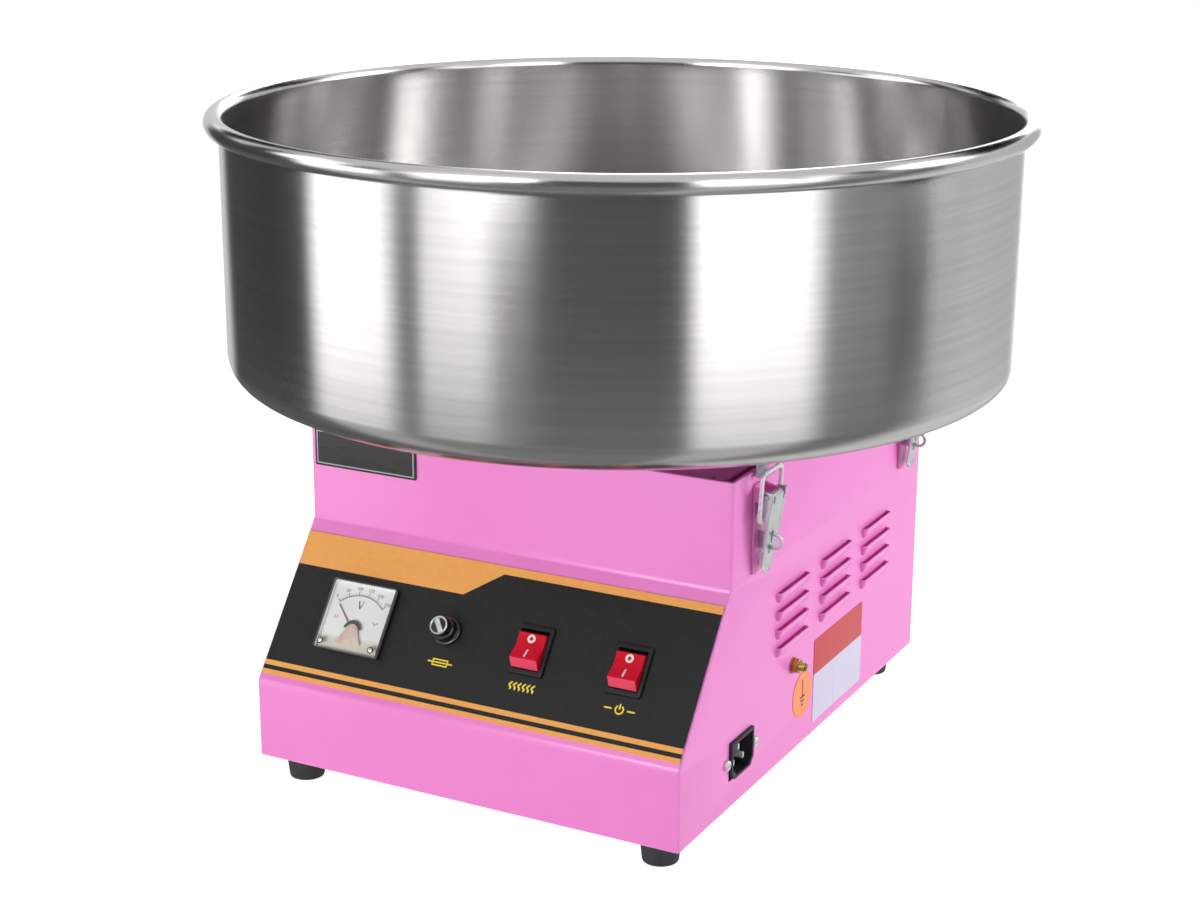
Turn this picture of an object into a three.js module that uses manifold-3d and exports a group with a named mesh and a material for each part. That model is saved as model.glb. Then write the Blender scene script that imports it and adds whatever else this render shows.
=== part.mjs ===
// Bench-top candy-floss machine: a sheet-steel casing on four rubber feet, with a sloped control
// panel, a lift-off stainless bowl held by four toggle latches, and a heated spinner head turned
// by a motor that hangs from a bridge inside the casing.
// Millimetres, +Z up. The origin is on the floor, under the middle of the bowl. The front faces -Y.
import * as THREE from 'three';
import { mergeVertices } from 'three/addons/utils/BufferGeometryUtils.js';
import Module from 'manifold-3d';

const wasm = await Module();
wasm.setup();

// Clearances
const seat = 0.3;
const slip = 0.4;

// Casing
const caseWidth = 291;
const upperFrontY = -141;
const lowerFrontY = -207;
const rearY = 168;
const footHeight = 17;
const lowerPanelHeight = 50;
const slopeRise = 88;
const upperPanelHeight = 65;
const sheet = 1.2;
const foldRadius = 2.5;
const foldSteps = 3;
const edgeRadius = 1.5;
const hemDepth = 9;
const flangeWidth = 10;
const caseBottomZ = footHeight;
const slopeBottomZ = caseBottomZ + lowerPanelHeight;
const slopeTopZ = slopeBottomZ + slopeRise;
const caseTopZ = slopeTopZ + upperPanelHeight;
const wallX = caseWidth / 2;
const slopeRun = upperFrontY - lowerFrontY;
const slopeAngle = Math.atan2(slopeRise, slopeRun);

// Base plate and rear panel, both screwed to the casing's return flanges
const baseSheet = 1.2;
const rearSheet = 1.2;
const baseTopZ = caseBottomZ + baseSheet;
const bottomFlangeZ = baseTopZ + seat;
const rearFlangeY = rearY - rearSheet - seat;
const ventLength = 60;
const ventWidth = 5;
const ventPitch = 14;
const ventRows = 4;
const ventGap = 30;
const ventCentreY = 0;

// Feet
const footTopRadius = 12.7;
const footBottomRadius = 10.8;
const footRecessRadius = 4.5;
const footRecessDepth = 8;
const footEdge = 1.2;
const footSides = 12;
const footInset = 21;
const footX = wallX - footInset;
const footFrontY = -187;
const footRearY = 146;

// Side louvres, pressed outward with the slit along the top
const louvreLength = 46.5;
const louvreHeight = 7;
const louvreBulge = 4;
const louvreWall = 1;
const louvreSlitLength = 37;
const louvreEndLength = 5;
const louvreShoulder = 0.8;
const louvreShoulderUp = 0.4;
const louvreEdge = 0.02;
const louvrePitchY = 69.5;
const louvrePitchZ = 11.9;
const louvreColumns = 3;
const louvreRows = 4;
const louvreMidY = 17.5;
const louvreBottomZ = 89.5;

// Rolled-rim bowl
const bowlHeight = 167;
const rimRadius = 260;
const beadRadius = 6;
const rimOverhang = 9;
const bowlWallRadius = rimRadius - rimOverhang;
const bowlCornerRadius = 17;
const bowlSheet = 1.2;
const bowlHoleRadius = 86;
const bowlCollarHeight = 12;
const bowlSides = 40;
const beadCurlEnd = -0.55 * Math.PI;

// Bridge inside the casing, and the ring on it that carries the bowl
const bridgeSheet = 1.5;
const deckDrop = 8;
const deckWallGap = 17.5;
const deckHalfWidth = wallX - deckWallGap;
const deckFrontY = -119;
const deckRearY = 146;
const deckCornerRadius = 9;
const deckNotchWidth = 2.5;
const deckNotchDepth = 9;
const legInset = 10;
const legX = deckHalfWidth - legInset;
const legFrontY = -95;
const legRearY = 125;
const legFootWidth = 14;
const deckHoleRadius = 46;
const seatRingHeight = 29;
const seatRingRadius = 112;
const seatRingSheet = 1.5;
const seatRingFoot = 12;
const seatRingTop = 9;
const seatRingSides = 28;
const deckTopZ = caseTopZ - deckDrop;
const seatRingTopZ = deckTopZ + seatRingHeight - seat;
const bowlFloorZ = seatRingTopZ + seat;
const bowlRimZ = bowlFloorZ + bowlHeight;

// Drive: shaft, motor on three rubber isolators, fan, slip rings and brushes
const shaftRadius = 5;
const shaftDrop = 30;
const shaftEnd = 2;
const motorRadius = 45;
const motorLength = 101;
const motorFlangeRadius = 66;
const motorFlangeThickness = 3;
const motorBossRadius = 23;
const motorBossHeight = 5;
const motorEdge = 4;
const stackRadius = 47;
const stackLength = 50;
const isolatorHeight = 18.6;
const isolatorRadius = 9;
const isolatorWaist = 7;
const isolatorRim = 4;
const isolatorTaper = 2;
const isolatorCircle = 56;
const isolatorCount = 3;
const fanRadius = 40;
const fanHubRadius = 12;
const fanBladeRoot = 2;
const fanHeight = 10;
const fanBlades = 6;
const fanBladeThickness = 1.2;
const fanPitchAngle = 0.6;
const slipBushLength = 24;
const slipBushDrop = 2;
const slipBushRadius = 12;
const slipRingRadius = 15;
const slipRingWidth = 6;
const slipRingPitch = 10;
const brushWidth = 6;
const brushHeight = 5;
const brushLength = 21;
const holderWidth = 16;
const holderLength = 27;
const holderGap = 2;
const motorFlangeTopZ = deckTopZ - bridgeSheet - isolatorHeight - 2 * seat;
const motorBottomZ = motorFlangeTopZ - motorLength;

// Spinner head
const panRadius = 74;
const panFloor = 3;
const panLip = 8;
const panLipWall = 2;
const panEdge = 4;
const headSides = 28;
const hubRadius = 14;
const hubHeight = 18;
const hubFoot = 2;
const headLift = 17;
const bandRadius = 69;
const bandWall = 1.2;
const bandHeight = 26;
const bandSlots = 24;
const bandSlotWidth = 3;
const bandSlotMargin = 4;
const heaterRadius = 60;
const heaterWave = 2.4;
const heaterWaves = 14;
const heaterWall = 1;
const heaterHeight = 18;
const lidHoleRadius = 28;
const lidThickness = 2;
const lidCollar = 6;
const lidSkirt = 4;
const lidSkirtWall = 2;
const lidEdge = 1;
const lidCollarFoot = 3;
const lidCollarWall = 1.5;
const postRadius = 4;
const postCircle = 48;
const postCount = 3;
const hubNutAcross = 17;
const hubNutHeight = 8;
const panBottomZ = bowlFloorZ + headLift;
const panTopZ = panBottomZ + panFloor;
const lidBottomZ = panTopZ + seat + bandHeight + seat;

// Toggle latches, two on each side
const latchFrontY = -107;
const latchRearY = 134;
const latchHingeZ = 206;
const latchHingeOut = 9.5;
const latchBaseWidth = 15;
const latchBaseTop = 6;
const latchBaseBottom = 50;
const latchBaseCorner = 2;
const latchSheet = 1.2;
const latchPinRadius = 1.5;
const latchPinEnd = 0.7;
const latchEarRoot = 5;
const latchEarTip = 2.6;
const leverWidth = 20;
const leverTipWidth = 15;
const leverTop = 4;
const leverNotchDown = 2.5;
const leverLength = 49;
const leverTilt = 0.16;
const leverOut = 3.2;
const leverEarRadius = 3.2;
const leverEarBottom = 22;
const leverSlotWidth = 3;
const leverSlotLength = 15;
const bailDrop = 14;
const bailInset = 2.3;
const bailTop = 15;
const bailTopInset = 0.6;
const bailHalfWidth = 13.8;
const bailWire = 1.4;
const bailBend = 4.5;
const bailFootBend = 2.2;
const bailEnd = 1.6;
const stapleDrop = 29;
const stapleOuter = 5.2;
const stapleEye = 3.2;
const stapleSheet = 1.5;
const stapleOut = 11.8;
const keeperWidth = 16;
const keeperSheet = 1.5;
const keeperWallGap = 1.5;
const keeperDepth = 24;
const keeperTab = 16;

// Panel overlay and name plate
const overlayWidth = 288;
const overlayTop = 10;
const overlayBottom = 105;
const overlayThickness = 0.5;
const namePlateLeft = -142;
const namePlateWidth = 74;
const namePlateBottomZ = 190;
const namePlateHeight = 24;
const namePlateThickness = 1;
const overlayFace = seat + overlayThickness;

// Voltmeter
const meterX = -89;
const meterDown = 60.4;
const meterSize = 45;
const meterFlange = 1.2;
const meterCover = 3.6;
const meterWall = 1.2;
const meterBarrelRadius = 19;
const meterBarrelDepth = 24;
const meterCorner = 1;
const meterBoreRadius = 5;
const meterBoreFloor = 4;
const meterDialThickness = 0.5;
const meterDialInset = 0.6;
const needleLength = 19;
const needleWidth = 0.8;
const needleThickness = 0.5;
const needleHubRadius = 2.2;
const needleTail = 3.5;
const spindleRadius = 0.8;
const spindleDepth = 6;
const needlePivotDown = 8;
const needleZeroAngle = Math.PI / 4;

// Fuse holder
const fuseX = -26;
const fuseDown = 56.6;
const fuseFlangeRadius = 9.2;
const fuseFlange = 2;
const fuseCollarRadius = 7.8;
const fuseCollarHeight = 6;
const fuseBarrelRadius = 6;
const fuseBarrelDepth = 30;
const fuseBoreRadius = 3.6;
const fuseCapRadius = 6.4;
const fuseCapHeight = 4.5;
const fuseStemDepth = 8;
const fuseLinkRadius = 2.6;
const fuseLinkLength = 20;
const fuseEdge = 0.7;
const fuseSlotLength = 9.2;
const fuseSlotWidth = 1.4;
const fuseSlotDepth = 1.5;

// Rocker switches
const heatX = 32.6;
const powerX = 97.7;
const switchDown = 58;
const bezelWidth = 24;
const bezelHeight = 31;
const bezelThickness = 1.6;
const bezelRadius = 1.5;
const rockerWidth = 18.4;
const rockerHalfLength = 12;
const rockerRidge = 9.2;
const rockerRise = 4.4;
const rockerValley = 3.4;
const rockerSink = 6;
const rockerKeel = 8;
const rockerPivot = 1;
const rockerTilt = 0.2;
const switchBoxWidth = 21.6;
const switchBoxHeight = 28.6;
const switchBoxDepth = 24;
const switchCavity = 12;

// Mains inlet in the right side
const inletY = -123.5;
const inletZ = 46.5;
const inletWidth = 32;
const inletHeight = 24.5;
const inletChamfer = 5;
const inletProud = 2;
const inletRim = 2;
const inletDepth = 24;
const inletCavity = 16;
const inletEarLength = 50;
const inletEarHeight = 20;
const inletEar = 3;
const inletEarCorner = 5;
const inletScrewPitch = 40;
const inletScrewRadius = 1.6;
const inletScrewHeadRadius = 3.4;
const inletScrewHead = 2.2;
const inletScrewLength = 9;
const inletScrewEdge = 1;
const inletScrewSlotLength = 4.4;
const inletScrewSlotWidth = 0.8;
const inletScrewSlotDepth = 0.9;
const pinWidth = 2;
const pinHeight = 4;
const pinLength = 13;
const pinSpacing = 7;
const pinEarthRise = 4;

// Earth stud in the right side
const studY = -46;
const studZ = 75.5;
const studRadius = 3;
const studLength = 12;
const studNutAcross = 10;
const studNut = 5;
const studHeadRadius = 6;
const studHead = 3;

// Terminal block on the base plate
const blockX = 60;
const blockY = 95;
const blockLength = 58;
const blockWidth = 20;
const blockHeight = 16;
const blockStep = 6;
const blockWells = 5;
const blockWellRadius = 2.2;

// Finishes
const paint = { color: 0xf09bd6, roughness: 0.35, metalness: 0.0 };
const steel = { color: 0xb4b6b8, roughness: 0.3, metalness: 1.0 };
const zinc = { color: 0xc8cccf, roughness: 0.4, metalness: 1.0 };
const aluminium = { color: 0xb9bbbd, roughness: 0.45, metalness: 1.0 };
const brass = { color: 0xb49650, roughness: 0.35, metalness: 1.0 };
const black = { color: 0x161618, roughness: 0.5, metalness: 0.0 };
const rubber = { color: 0x2b2c2d, roughness: 0.8, metalness: 0.0 };
const red = { color: 0xc81f3c, roughness: 0.3, metalness: 0.0 };
const white = { color: 0xe9ebe8, roughness: 0.5, metalness: 0.0 };
const clear = { color: 0xe6ecec, roughness: 0.1, metalness: 0.0, transparent: true, opacity: 0.3 };

const machine = new THREE.Group();

// A closed geometry with shared vertices merged and flattened triangles dropped
function merged(geometry) {
  const bare = geometry.clone();
  bare.deleteAttribute('normal');
  bare.deleteAttribute('uv');
  const joined = mergeVertices(bare, 1e-4);
  const corners = joined.index.array;
  const kept = [];
  for (let i = 0; i < corners.length; i += 3) {
    const [a, b, c] = [corners[i], corners[i + 1], corners[i + 2]];
    if (a !== b && b !== c && c !== a) kept.push(a, b, c);
  }
  joined.setIndex(kept);
  return joined;
}

function solid(geometry) {
  const source = merged(geometry);
  const vertProperties = new Float32Array(source.attributes.position.array);
  const triVerts = new Uint32Array(source.index.array);
  return new wasm.Manifold(new wasm.Mesh({ numProp: 3, vertProperties, triVerts }));
}

function geometryOf(manifold) {
  const mesh = manifold.getMesh();
  const geometry = new THREE.BufferGeometry();
  geometry.setAttribute('position', new THREE.BufferAttribute(mesh.vertProperties, 3));
  geometry.setIndex(new THREE.BufferAttribute(mesh.triVerts, 1));
  return geometry;
}

// A named piece of the machine from a geometry or from the result of a cut
function piece(name, shape, finish, parent = machine) {
  const geometry = shape.isBufferGeometry ? merged(shape) : geometryOf(shape);
  geometry.computeVertexNormals();
  const mesh = new THREE.Mesh(geometry, new THREE.MeshStandardMaterial({ ...finish, flatShading: true }));
  mesh.name = name;
  parent.add(mesh);
  return mesh;
}

function outline(points) {
  return new THREE.Shape(points.map(([x, y]) => new THREE.Vector2(x, y)));
}

// The points of a polygon with every corner turned into an arc
function rounded(points, radius, steps = 3) {
  const result = [];
  points.forEach((corner, i) => {
    const before = points[(i + points.length - 1) % points.length];
    const after = points[(i + 1) % points.length];
    const toBefore = new THREE.Vector2(before[0] - corner[0], before[1] - corner[1]).normalize();
    const toAfter = new THREE.Vector2(after[0] - corner[0], after[1] - corner[1]).normalize();
    const half = Math.acos(toBefore.dot(toAfter)) / 2;
    const reach = radius / Math.tan(half);
    const start = new THREE.Vector2(...corner).addScaledVector(toBefore, reach);
    const end = new THREE.Vector2(...corner).addScaledVector(toAfter, reach);
    const bisector = toBefore.add(toAfter).normalize();
    const centre = new THREE.Vector2(...corner).addScaledVector(bisector, radius / Math.sin(half));
    const from = start.sub(centre).angle();
    let sweep = end.sub(centre).angle() - from;
    if (sweep > Math.PI) sweep -= 2 * Math.PI;
    if (sweep < -Math.PI) sweep += 2 * Math.PI;
    for (let k = 0; k <= steps; k++) {
      const angle = from + sweep * k / steps;
      result.push([centre.x + radius * Math.cos(angle), centre.y + radius * Math.sin(angle)]);
    }
  });
  return result;
}

// A counter-clockwise polygon moved inward by a distance, edge by edge
function inset(points, distance) {
  return points.map((corner, i) => {
    const before = points[(i + points.length - 1) % points.length];
    const after = points[(i + 1) % points.length];
    const a = new THREE.Vector2(corner[0] - before[0], corner[1] - before[1]).normalize();
    const b = new THREE.Vector2(after[0] - corner[0], after[1] - corner[1]).normalize();
    const normalA = new THREE.Vector2(-a.y, a.x);
    const normalB = new THREE.Vector2(-b.y, b.x);
    const factor = distance / (1 + normalA.dot(normalB));
    return [corner[0] + factor * (normalA.x + normalB.x), corner[1] + factor * (normalA.y + normalB.y)];
  });
}

function rectangle(width, height, x = 0, y = 0) {
  const [w, h] = [width / 2, height / 2];
  return [[x - w, y - h], [x + w, y - h], [x + w, y + h], [x - w, y + h]];
}

function polygon(radius, sides, turn = 0) {
  const angles = Array.from({ length: sides }, (_, i) => turn + 2 * Math.PI * i / sides);
  return angles.map((angle) => [radius * Math.cos(angle), radius * Math.sin(angle)]);
}

// A flat outline given a thickness along Z, from z = bottom upward
function slab(points, height, bottom = 0, holes = []) {
  const shape = outline(points);
  shape.holes = holes.map((hole) => outline(hole));
  const geometry = new THREE.ExtrudeGeometry(shape, { depth: height, bevelEnabled: false });
  return geometry.translate(0, 0, bottom);
}

function box(x0, x1, y0, y1, z0, z1) {
  const geometry = new THREE.BoxGeometry(x1 - x0, y1 - y0, z1 - z0);
  return geometry.translate((x0 + x1) / 2, (y0 + y1) / 2, (z0 + z1) / 2);
}

function cylinder(radius, height, bottom = 0, sides = 24, topRadius = radius) {
  const geometry = new THREE.CylinderGeometry(topRadius, radius, height, sides);
  return geometry.rotateX(Math.PI / 2).translate(0, 0, bottom + height / 2);
}

// A closed section of radius and height turned about the Z axis
function turned(section, sides) {
  const points = section.map(([radius, z]) => new THREE.Vector2(radius, z));
  if (THREE.ShapeUtils.isClockWise(points)) points.reverse();
  points.push(points[0]);
  return new THREE.LatheGeometry(points, sides).rotateX(Math.PI / 2);
}

// The closed section of a bent sheet, from the line along its middle
function sheetSection(middle, thickness) {
  const sides = [1, -1].map((side) => middle.map((point, i) => {
    const before = middle[Math.max(i - 1, 0)];
    const after = middle[Math.min(i + 1, middle.length - 1)];
    const a = new THREE.Vector2(point[0] - before[0], point[1] - before[1]);
    const b = new THREE.Vector2(after[0] - point[0], after[1] - point[1]);
    if (i === 0) a.copy(b);
    if (i === middle.length - 1) b.copy(a);
    a.normalize();
    b.normalize();
    const factor = side * thickness / 2 / (1 + a.dot(b));
    return [point[0] + factor * (a.y + b.y), point[1] - factor * (a.x + b.x)];
  }));
  return [...sides[0], ...sides[1].reverse()];
}

function arc(cx, cy, radius, from, to, steps) {
  const angles = Array.from({ length: steps + 1 }, (_, i) => from + (to - from) * i / steps);
  return angles.map((angle) => [cx + radius * Math.cos(angle), cy + radius * Math.sin(angle)]);
}

// Frames: local Z points out of the right side, the left side and the sloped panel
const axisX = new THREE.Vector3(1, 0, 0);
const axisY = new THREE.Vector3(0, 1, 0);
const axisZ = new THREE.Vector3(0, 0, 1);
const rightFrame = new THREE.Matrix4().makeBasis(axisY, axisZ, axisX).setPosition(wallX, 0, 0);
const leftFrame = new THREE.Matrix4().makeRotationZ(Math.PI).multiply(rightFrame);
const slopeFrame = new THREE.Matrix4().makeRotationX(slopeAngle).setPosition(0, upperFrontY, slopeTopZ);

function group(frame) {
  const result = new THREE.Group();
  result.applyMatrix4(frame);
  machine.add(result);
  return result;
}

const rightSide = group(rightFrame);
const leftSide = group(leftFrame);
const slope = group(slopeFrame);

// A profile across the casing's depth, given its width along X
function acrossWidth(points, width) {
  const geometry = slab(points, width, -width / 2);
  return geometry.applyMatrix4(new THREE.Matrix4().makeBasis(axisY, axisZ, axisX));
}

function caseProfile(bottom, rear, top) {
  return [[lowerFrontY, bottom], [rear, bottom], [rear, top], [upperFrontY, top],
    [upperFrontY, slopeTopZ], [lowerFrontY, slopeBottomZ]];
}

// The casing's outer block, its front folds and side edges rounded
function casingBlock() {
  const corners = caseProfile(caseBottomZ, rearY, caseTopZ);
  const square = corners.slice(0, 4);
  const folds = rounded(corners, foldRadius, foldSteps).slice(square.length * (foldSteps + 1));
  const shape = outline([...square, ...folds]);
  const settings = { depth: caseWidth - 2 * edgeRadius, bevelEnabled: true, bevelSegments: 2 };
  settings.bevelThickness = edgeRadius;
  settings.bevelSize = edgeRadius;
  settings.bevelOffset = -edgeRadius;
  const geometry = new THREE.ExtrudeGeometry(shape, settings);
  geometry.translate(0, 0, edgeRadius - caseWidth / 2);
  return solid(geometry.applyMatrix4(new THREE.Matrix4().makeBasis(axisY, axisZ, axisX)));
}

// A lump lying on the wall: its section swells at each station along the length
function louvreLump(length, height, bulge, root, stations) {
  const section = [[root, 0], [louvreShoulder * bulge, louvreShoulderUp * height], [bulge, height],
    [root, height]];
  const corners = [];
  for (const [along, swell] of stations) {
    for (const [out, up] of section) {
      const grown = out > 0 ? out * swell + louvreEdge : out;
      corners.push(along * length / 2, up, grown);
    }
  }
  const faces = [];
  const n = section.length;
  for (let s = 0; s + 1 < stations.length; s++) {
    for (let i = 0; i < n; i++) {
      const [a, b] = [s * n + i, s * n + (i + 1) % n];
      faces.push(a, a + n, b, b, a + n, b + n);
    }
  }
  const last = (stations.length - 1) * n;
  for (let i = 1; i + 1 < n; i++) {
    faces.push(0, i, i + 1);
    faces.push(last, last + i + 1, last + i);
  }
  const geometry = new THREE.BufferGeometry();
  geometry.setAttribute('position', new THREE.Float32BufferAttribute(corners, 3));
  geometry.setIndex(faces);
  return geometry;
}

// Stations along a louvre, from end to end: place and share of the full bulge
const louvreFull = 1 - 2 * louvreEndLength / louvreLength;
const louvreSwell = [[-1, 0], [-louvreFull, 1], [louvreFull, 1], [1, 0]];
const slitSwell = [[-1, 1], [1, 1]];

const louvrePlaces = [];
for (let column = 0; column < louvreColumns; column++) {
  for (let row = 0; row < louvreRows; row++) {
    const y = louvreMidY + (column - (louvreColumns - 1) / 2) * louvrePitchY;
    louvrePlaces.push([y, louvreBottomZ + row * louvrePitchZ]);
  }
}

function withLouvres(casing) {
  let result = casing;
  for (const frame of [rightFrame, leftFrame]) {
    const forward = frame === rightFrame ? 1 : -1;
    for (const [y, z] of louvrePlaces) {
      const place = new THREE.Matrix4().makeTranslation(forward * y, z, 0).premultiply(frame);
      const outer = louvreLump(louvreLength, louvreHeight, louvreBulge, -sheet / 2, louvreSwell);
      result = result.add(solid(outer.applyMatrix4(place)));
      const inner = louvreLump(louvreSlitLength, louvreHeight, louvreBulge - louvreWall, -2 * sheet,
        slitSwell);
      const lifted = place.clone().multiply(new THREE.Matrix4().makeTranslation(0, louvreWall, 0));
      result = result.subtract(solid(inner.applyMatrix4(lifted)));
    }
  }
  return result;
}

// Holes through the sloped panel and the right side for what is mounted in them
function withCutouts(casing) {
  const deep = 8;
  const switchHole = rectangle(switchBoxWidth + 2 * slip, switchBoxHeight + 2 * slip);
  const slopeHoles = [
    cylinder(meterBarrelRadius + slip, deep, -deep / 2, 24).translate(meterX, -meterDown, 0),
    cylinder(fuseBarrelRadius + slip, deep, -deep / 2, 16).translate(fuseX, -fuseDown, 0),
    slab(switchHole, deep, -deep / 2).translate(heatX, -switchDown, 0),
    slab(switchHole, deep, -deep / 2).translate(powerX, -switchDown, 0),
  ];
  const sideHoles = [
    slab(inletOutline(slip), deep, -deep / 2).translate(inletY, inletZ, 0),
    cylinder(studRadius + slip, deep, -deep / 2, 16).translate(studY, studZ, 0),
  ];
  for (const side of [-1, 1]) {
    const hole = cylinder(inletScrewRadius + slip, deep, -deep / 2, 12);
    sideHoles.push(hole.translate(inletY + side * inletScrewPitch / 2, inletZ, 0));
  }
  let result = casing;
  for (const hole of slopeHoles) result = result.subtract(solid(hole.applyMatrix4(slopeFrame)));
  for (const hole of sideHoles) result = result.subtract(solid(hole.applyMatrix4(rightFrame)));
  return result;
}

function buildCasing() {
  const inner = inset(caseProfile(bottomFlangeZ, rearFlangeY, caseTopZ - hemDepth + sheet), sheet);
  const across = wallX - sheet;
  const past = 5;
  const frontIn = lowerFrontY + sheet;
  const flangeFrontY = rearFlangeY - sheet;
  const flangeTopZ = bottomFlangeZ + sheet;
  const cuts = [
    acrossWidth(inner, 2 * across),
    box(-across + sheet, across - sheet, upperFrontY + 2 * sheet, flangeFrontY, caseTopZ - hemDepth - 1,
      caseTopZ + past),
    box(-across, across, frontIn, rearY + past, caseBottomZ - past, bottomFlangeZ),
    box(-across, across, rearFlangeY, rearY + past, caseBottomZ - past, caseTopZ + past),
    box(-across + flangeWidth, across - flangeWidth, frontIn + flangeWidth, flangeFrontY - flangeWidth,
      caseBottomZ - past, flangeTopZ + past),
    box(-across + flangeWidth, across - flangeWidth, flangeFrontY - past, rearY + past,
      flangeTopZ + flangeWidth, caseTopZ - hemDepth - flangeWidth),
  ];
  let casing = casingBlock();
  for (const cut of cuts) casing = casing.subtract(solid(cut));
  piece('casing_shell', withCutouts(withLouvres(casing)), paint);
}

function buildPanels() {
  const half = wallX - sheet - slip;
  const baseFront = lowerFrontY + sheet + slip;
  const baseRear = rearFlangeY - slip;
  const vents = [];
  for (const side of [-1, 1]) {
    for (let row = 0; row < ventRows; row++) {
      const y = ventCentreY + (row - (ventRows - 1) / 2) * ventPitch;
      const middle = side * (ventLength + ventGap) / 2;
      vents.push(rounded(rectangle(ventLength, ventWidth, middle, y), ventWidth / 3, 1));
    }
  }
  const plan = [[-half, baseFront], [half, baseFront], [half, baseRear], [-half, baseRear]];
  piece('base_plate', slab(plan, baseSheet, caseBottomZ, vents), zinc);
  piece('rear_panel', box(-half, half, rearY - rearSheet, rearY, caseBottomZ, caseTopZ), paint);
}

function buildFeet() {
  const places = { front_left: [-footX, footFrontY], front_right: [footX, footFrontY] };
  places.rear_left = [-footX, footRearY];
  places.rear_right = [footX, footRearY];
  const top = footHeight - seat;
  const section = [[0, footRecessDepth], [footRecessRadius, footRecessDepth], [footRecessRadius, 0],
    [footBottomRadius, 0], [footTopRadius, top - footEdge], [footTopRadius - footEdge, top], [0, top]];
  for (const [name, [x, y]] of Object.entries(places)) {
    piece(`foot_${name}`, turned(section, footSides), rubber).position.set(x, y, 0);
  }
}

// The bridge: a deck folded down into two legs whose feet stand on the base plate
function buildBridge() {
  const deckBottomZ = deckTopZ - bridgeSheet;
  const footZ = baseTopZ + seat;
  const deck = rounded([[-deckHalfWidth, deckFrontY], [deckHalfWidth, deckFrontY],
    [deckHalfWidth, deckRearY], [-deckHalfWidth, deckRearY]], deckCornerRadius, 4);
  let bridge = solid(slab(deck, bridgeSheet, deckBottomZ));
  const hole = cylinder(deckHoleRadius, 4 * bridgeSheet, deckBottomZ - bridgeSheet, 24);
  bridge = bridge.subtract(solid(hole));
  for (const side of [-1, 1]) {
    const outer = side * (legX + bridgeSheet);
    const leg = [[side * legX, footZ], [side * (legX + legFootWidth), footZ],
      [side * (legX + legFootWidth), footZ + bridgeSheet], [outer, footZ + bridgeSheet],
      [outer, deckTopZ - bridgeSheet / 2], [side * legX, deckTopZ - bridgeSheet / 2]];
    const shape = slab(leg, legRearY - legFrontY);
    shape.rotateX(Math.PI / 2).translate(0, legRearY, 0);
    bridge = bridge.add(solid(shape));
    const notchX = side * (deckHalfWidth - deckCornerRadius);
    for (const y of [deckFrontY, deckRearY]) {
      const notch = box(notchX - deckNotchWidth / 2, notchX + deckNotchWidth / 2, y - deckNotchDepth,
        y + deckNotchDepth, deckBottomZ - bridgeSheet, deckTopZ + bridgeSheet);
      bridge = bridge.subtract(solid(notch));
    }
  }
  piece('bridge', bridge, paint);

  const foot = deckTopZ + seat + seatRingSheet / 2;
  const top = seatRingTopZ - seatRingSheet / 2;
  const middle = [[seatRingRadius + seatRingFoot, foot], [seatRingRadius, foot], [seatRingRadius, top],
    [seatRingRadius - seatRingTop, top]];
  piece('bowl_seat_ring', turned(sheetSection(middle, seatRingSheet), seatRingSides), paint);
}

// The bowl: floor with an upturned collar round its hole, straight wall and a rolled rim
function buildBowl() {
  const half = bowlSheet / 2;
  const floor = bowlFloorZ + half;
  const wall = bowlWallRadius - half;
  const beadX = rimRadius - beadRadius;
  const beadZ = bowlRimZ - beadRadius;
  const curl = beadRadius - half;
  const start = Math.PI + Math.acos((beadX - wall) / curl);
  const middle = [
    [bowlHoleRadius + half, floor + bowlCollarHeight],
    [bowlHoleRadius + half, floor],
    ...arc(bowlWallRadius - bowlCornerRadius, bowlFloorZ + bowlCornerRadius, bowlCornerRadius - half,
      -Math.PI / 2, 0, 3),
    [wall, beadZ + curl * Math.sin(start)],
    ...arc(beadX, beadZ, curl, Math.PI, -Math.PI / 4, 5),
    [beadX + curl * Math.cos(beadCurlEnd), beadZ + curl * Math.sin(beadCurlEnd)],
  ];
  piece('bowl', turned(sheetSection(middle, bowlSheet), bowlSides), steel);
}

// A bail keeper welded under the bowl, outside the casing wall, in the frame of one latch
function keeperGeometry() {
  const floor = bowlFloorZ - seat - latchHingeZ;
  const inner = keeperWallGap;
  const outer = inner + keeperSheet;
  const nose = latchHingeOut - bailTopInset - bailWire - slip;
  const low = floor - keeperDepth;
  const profile = [[inner, low], [nose, low], [nose, low + keeperSheet], [outer, low + keeperSheet],
    [outer, floor], [inner - keeperTab, floor], [inner - keeperTab, floor - keeperSheet],
    [inner, floor - keeperSheet]];
  return acrossLatch(profile, keeperWidth);
}

// A profile of distance out of the wall and height, given its width along the wall
function acrossLatch(points, width, middle = 0) {
  const geometry = slab(points, width, middle - width / 2);
  const basis = new THREE.Matrix4().makeBasis(axisZ, axisY, axisX.clone().negate());
  return geometry.applyMatrix4(basis);
}

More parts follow.
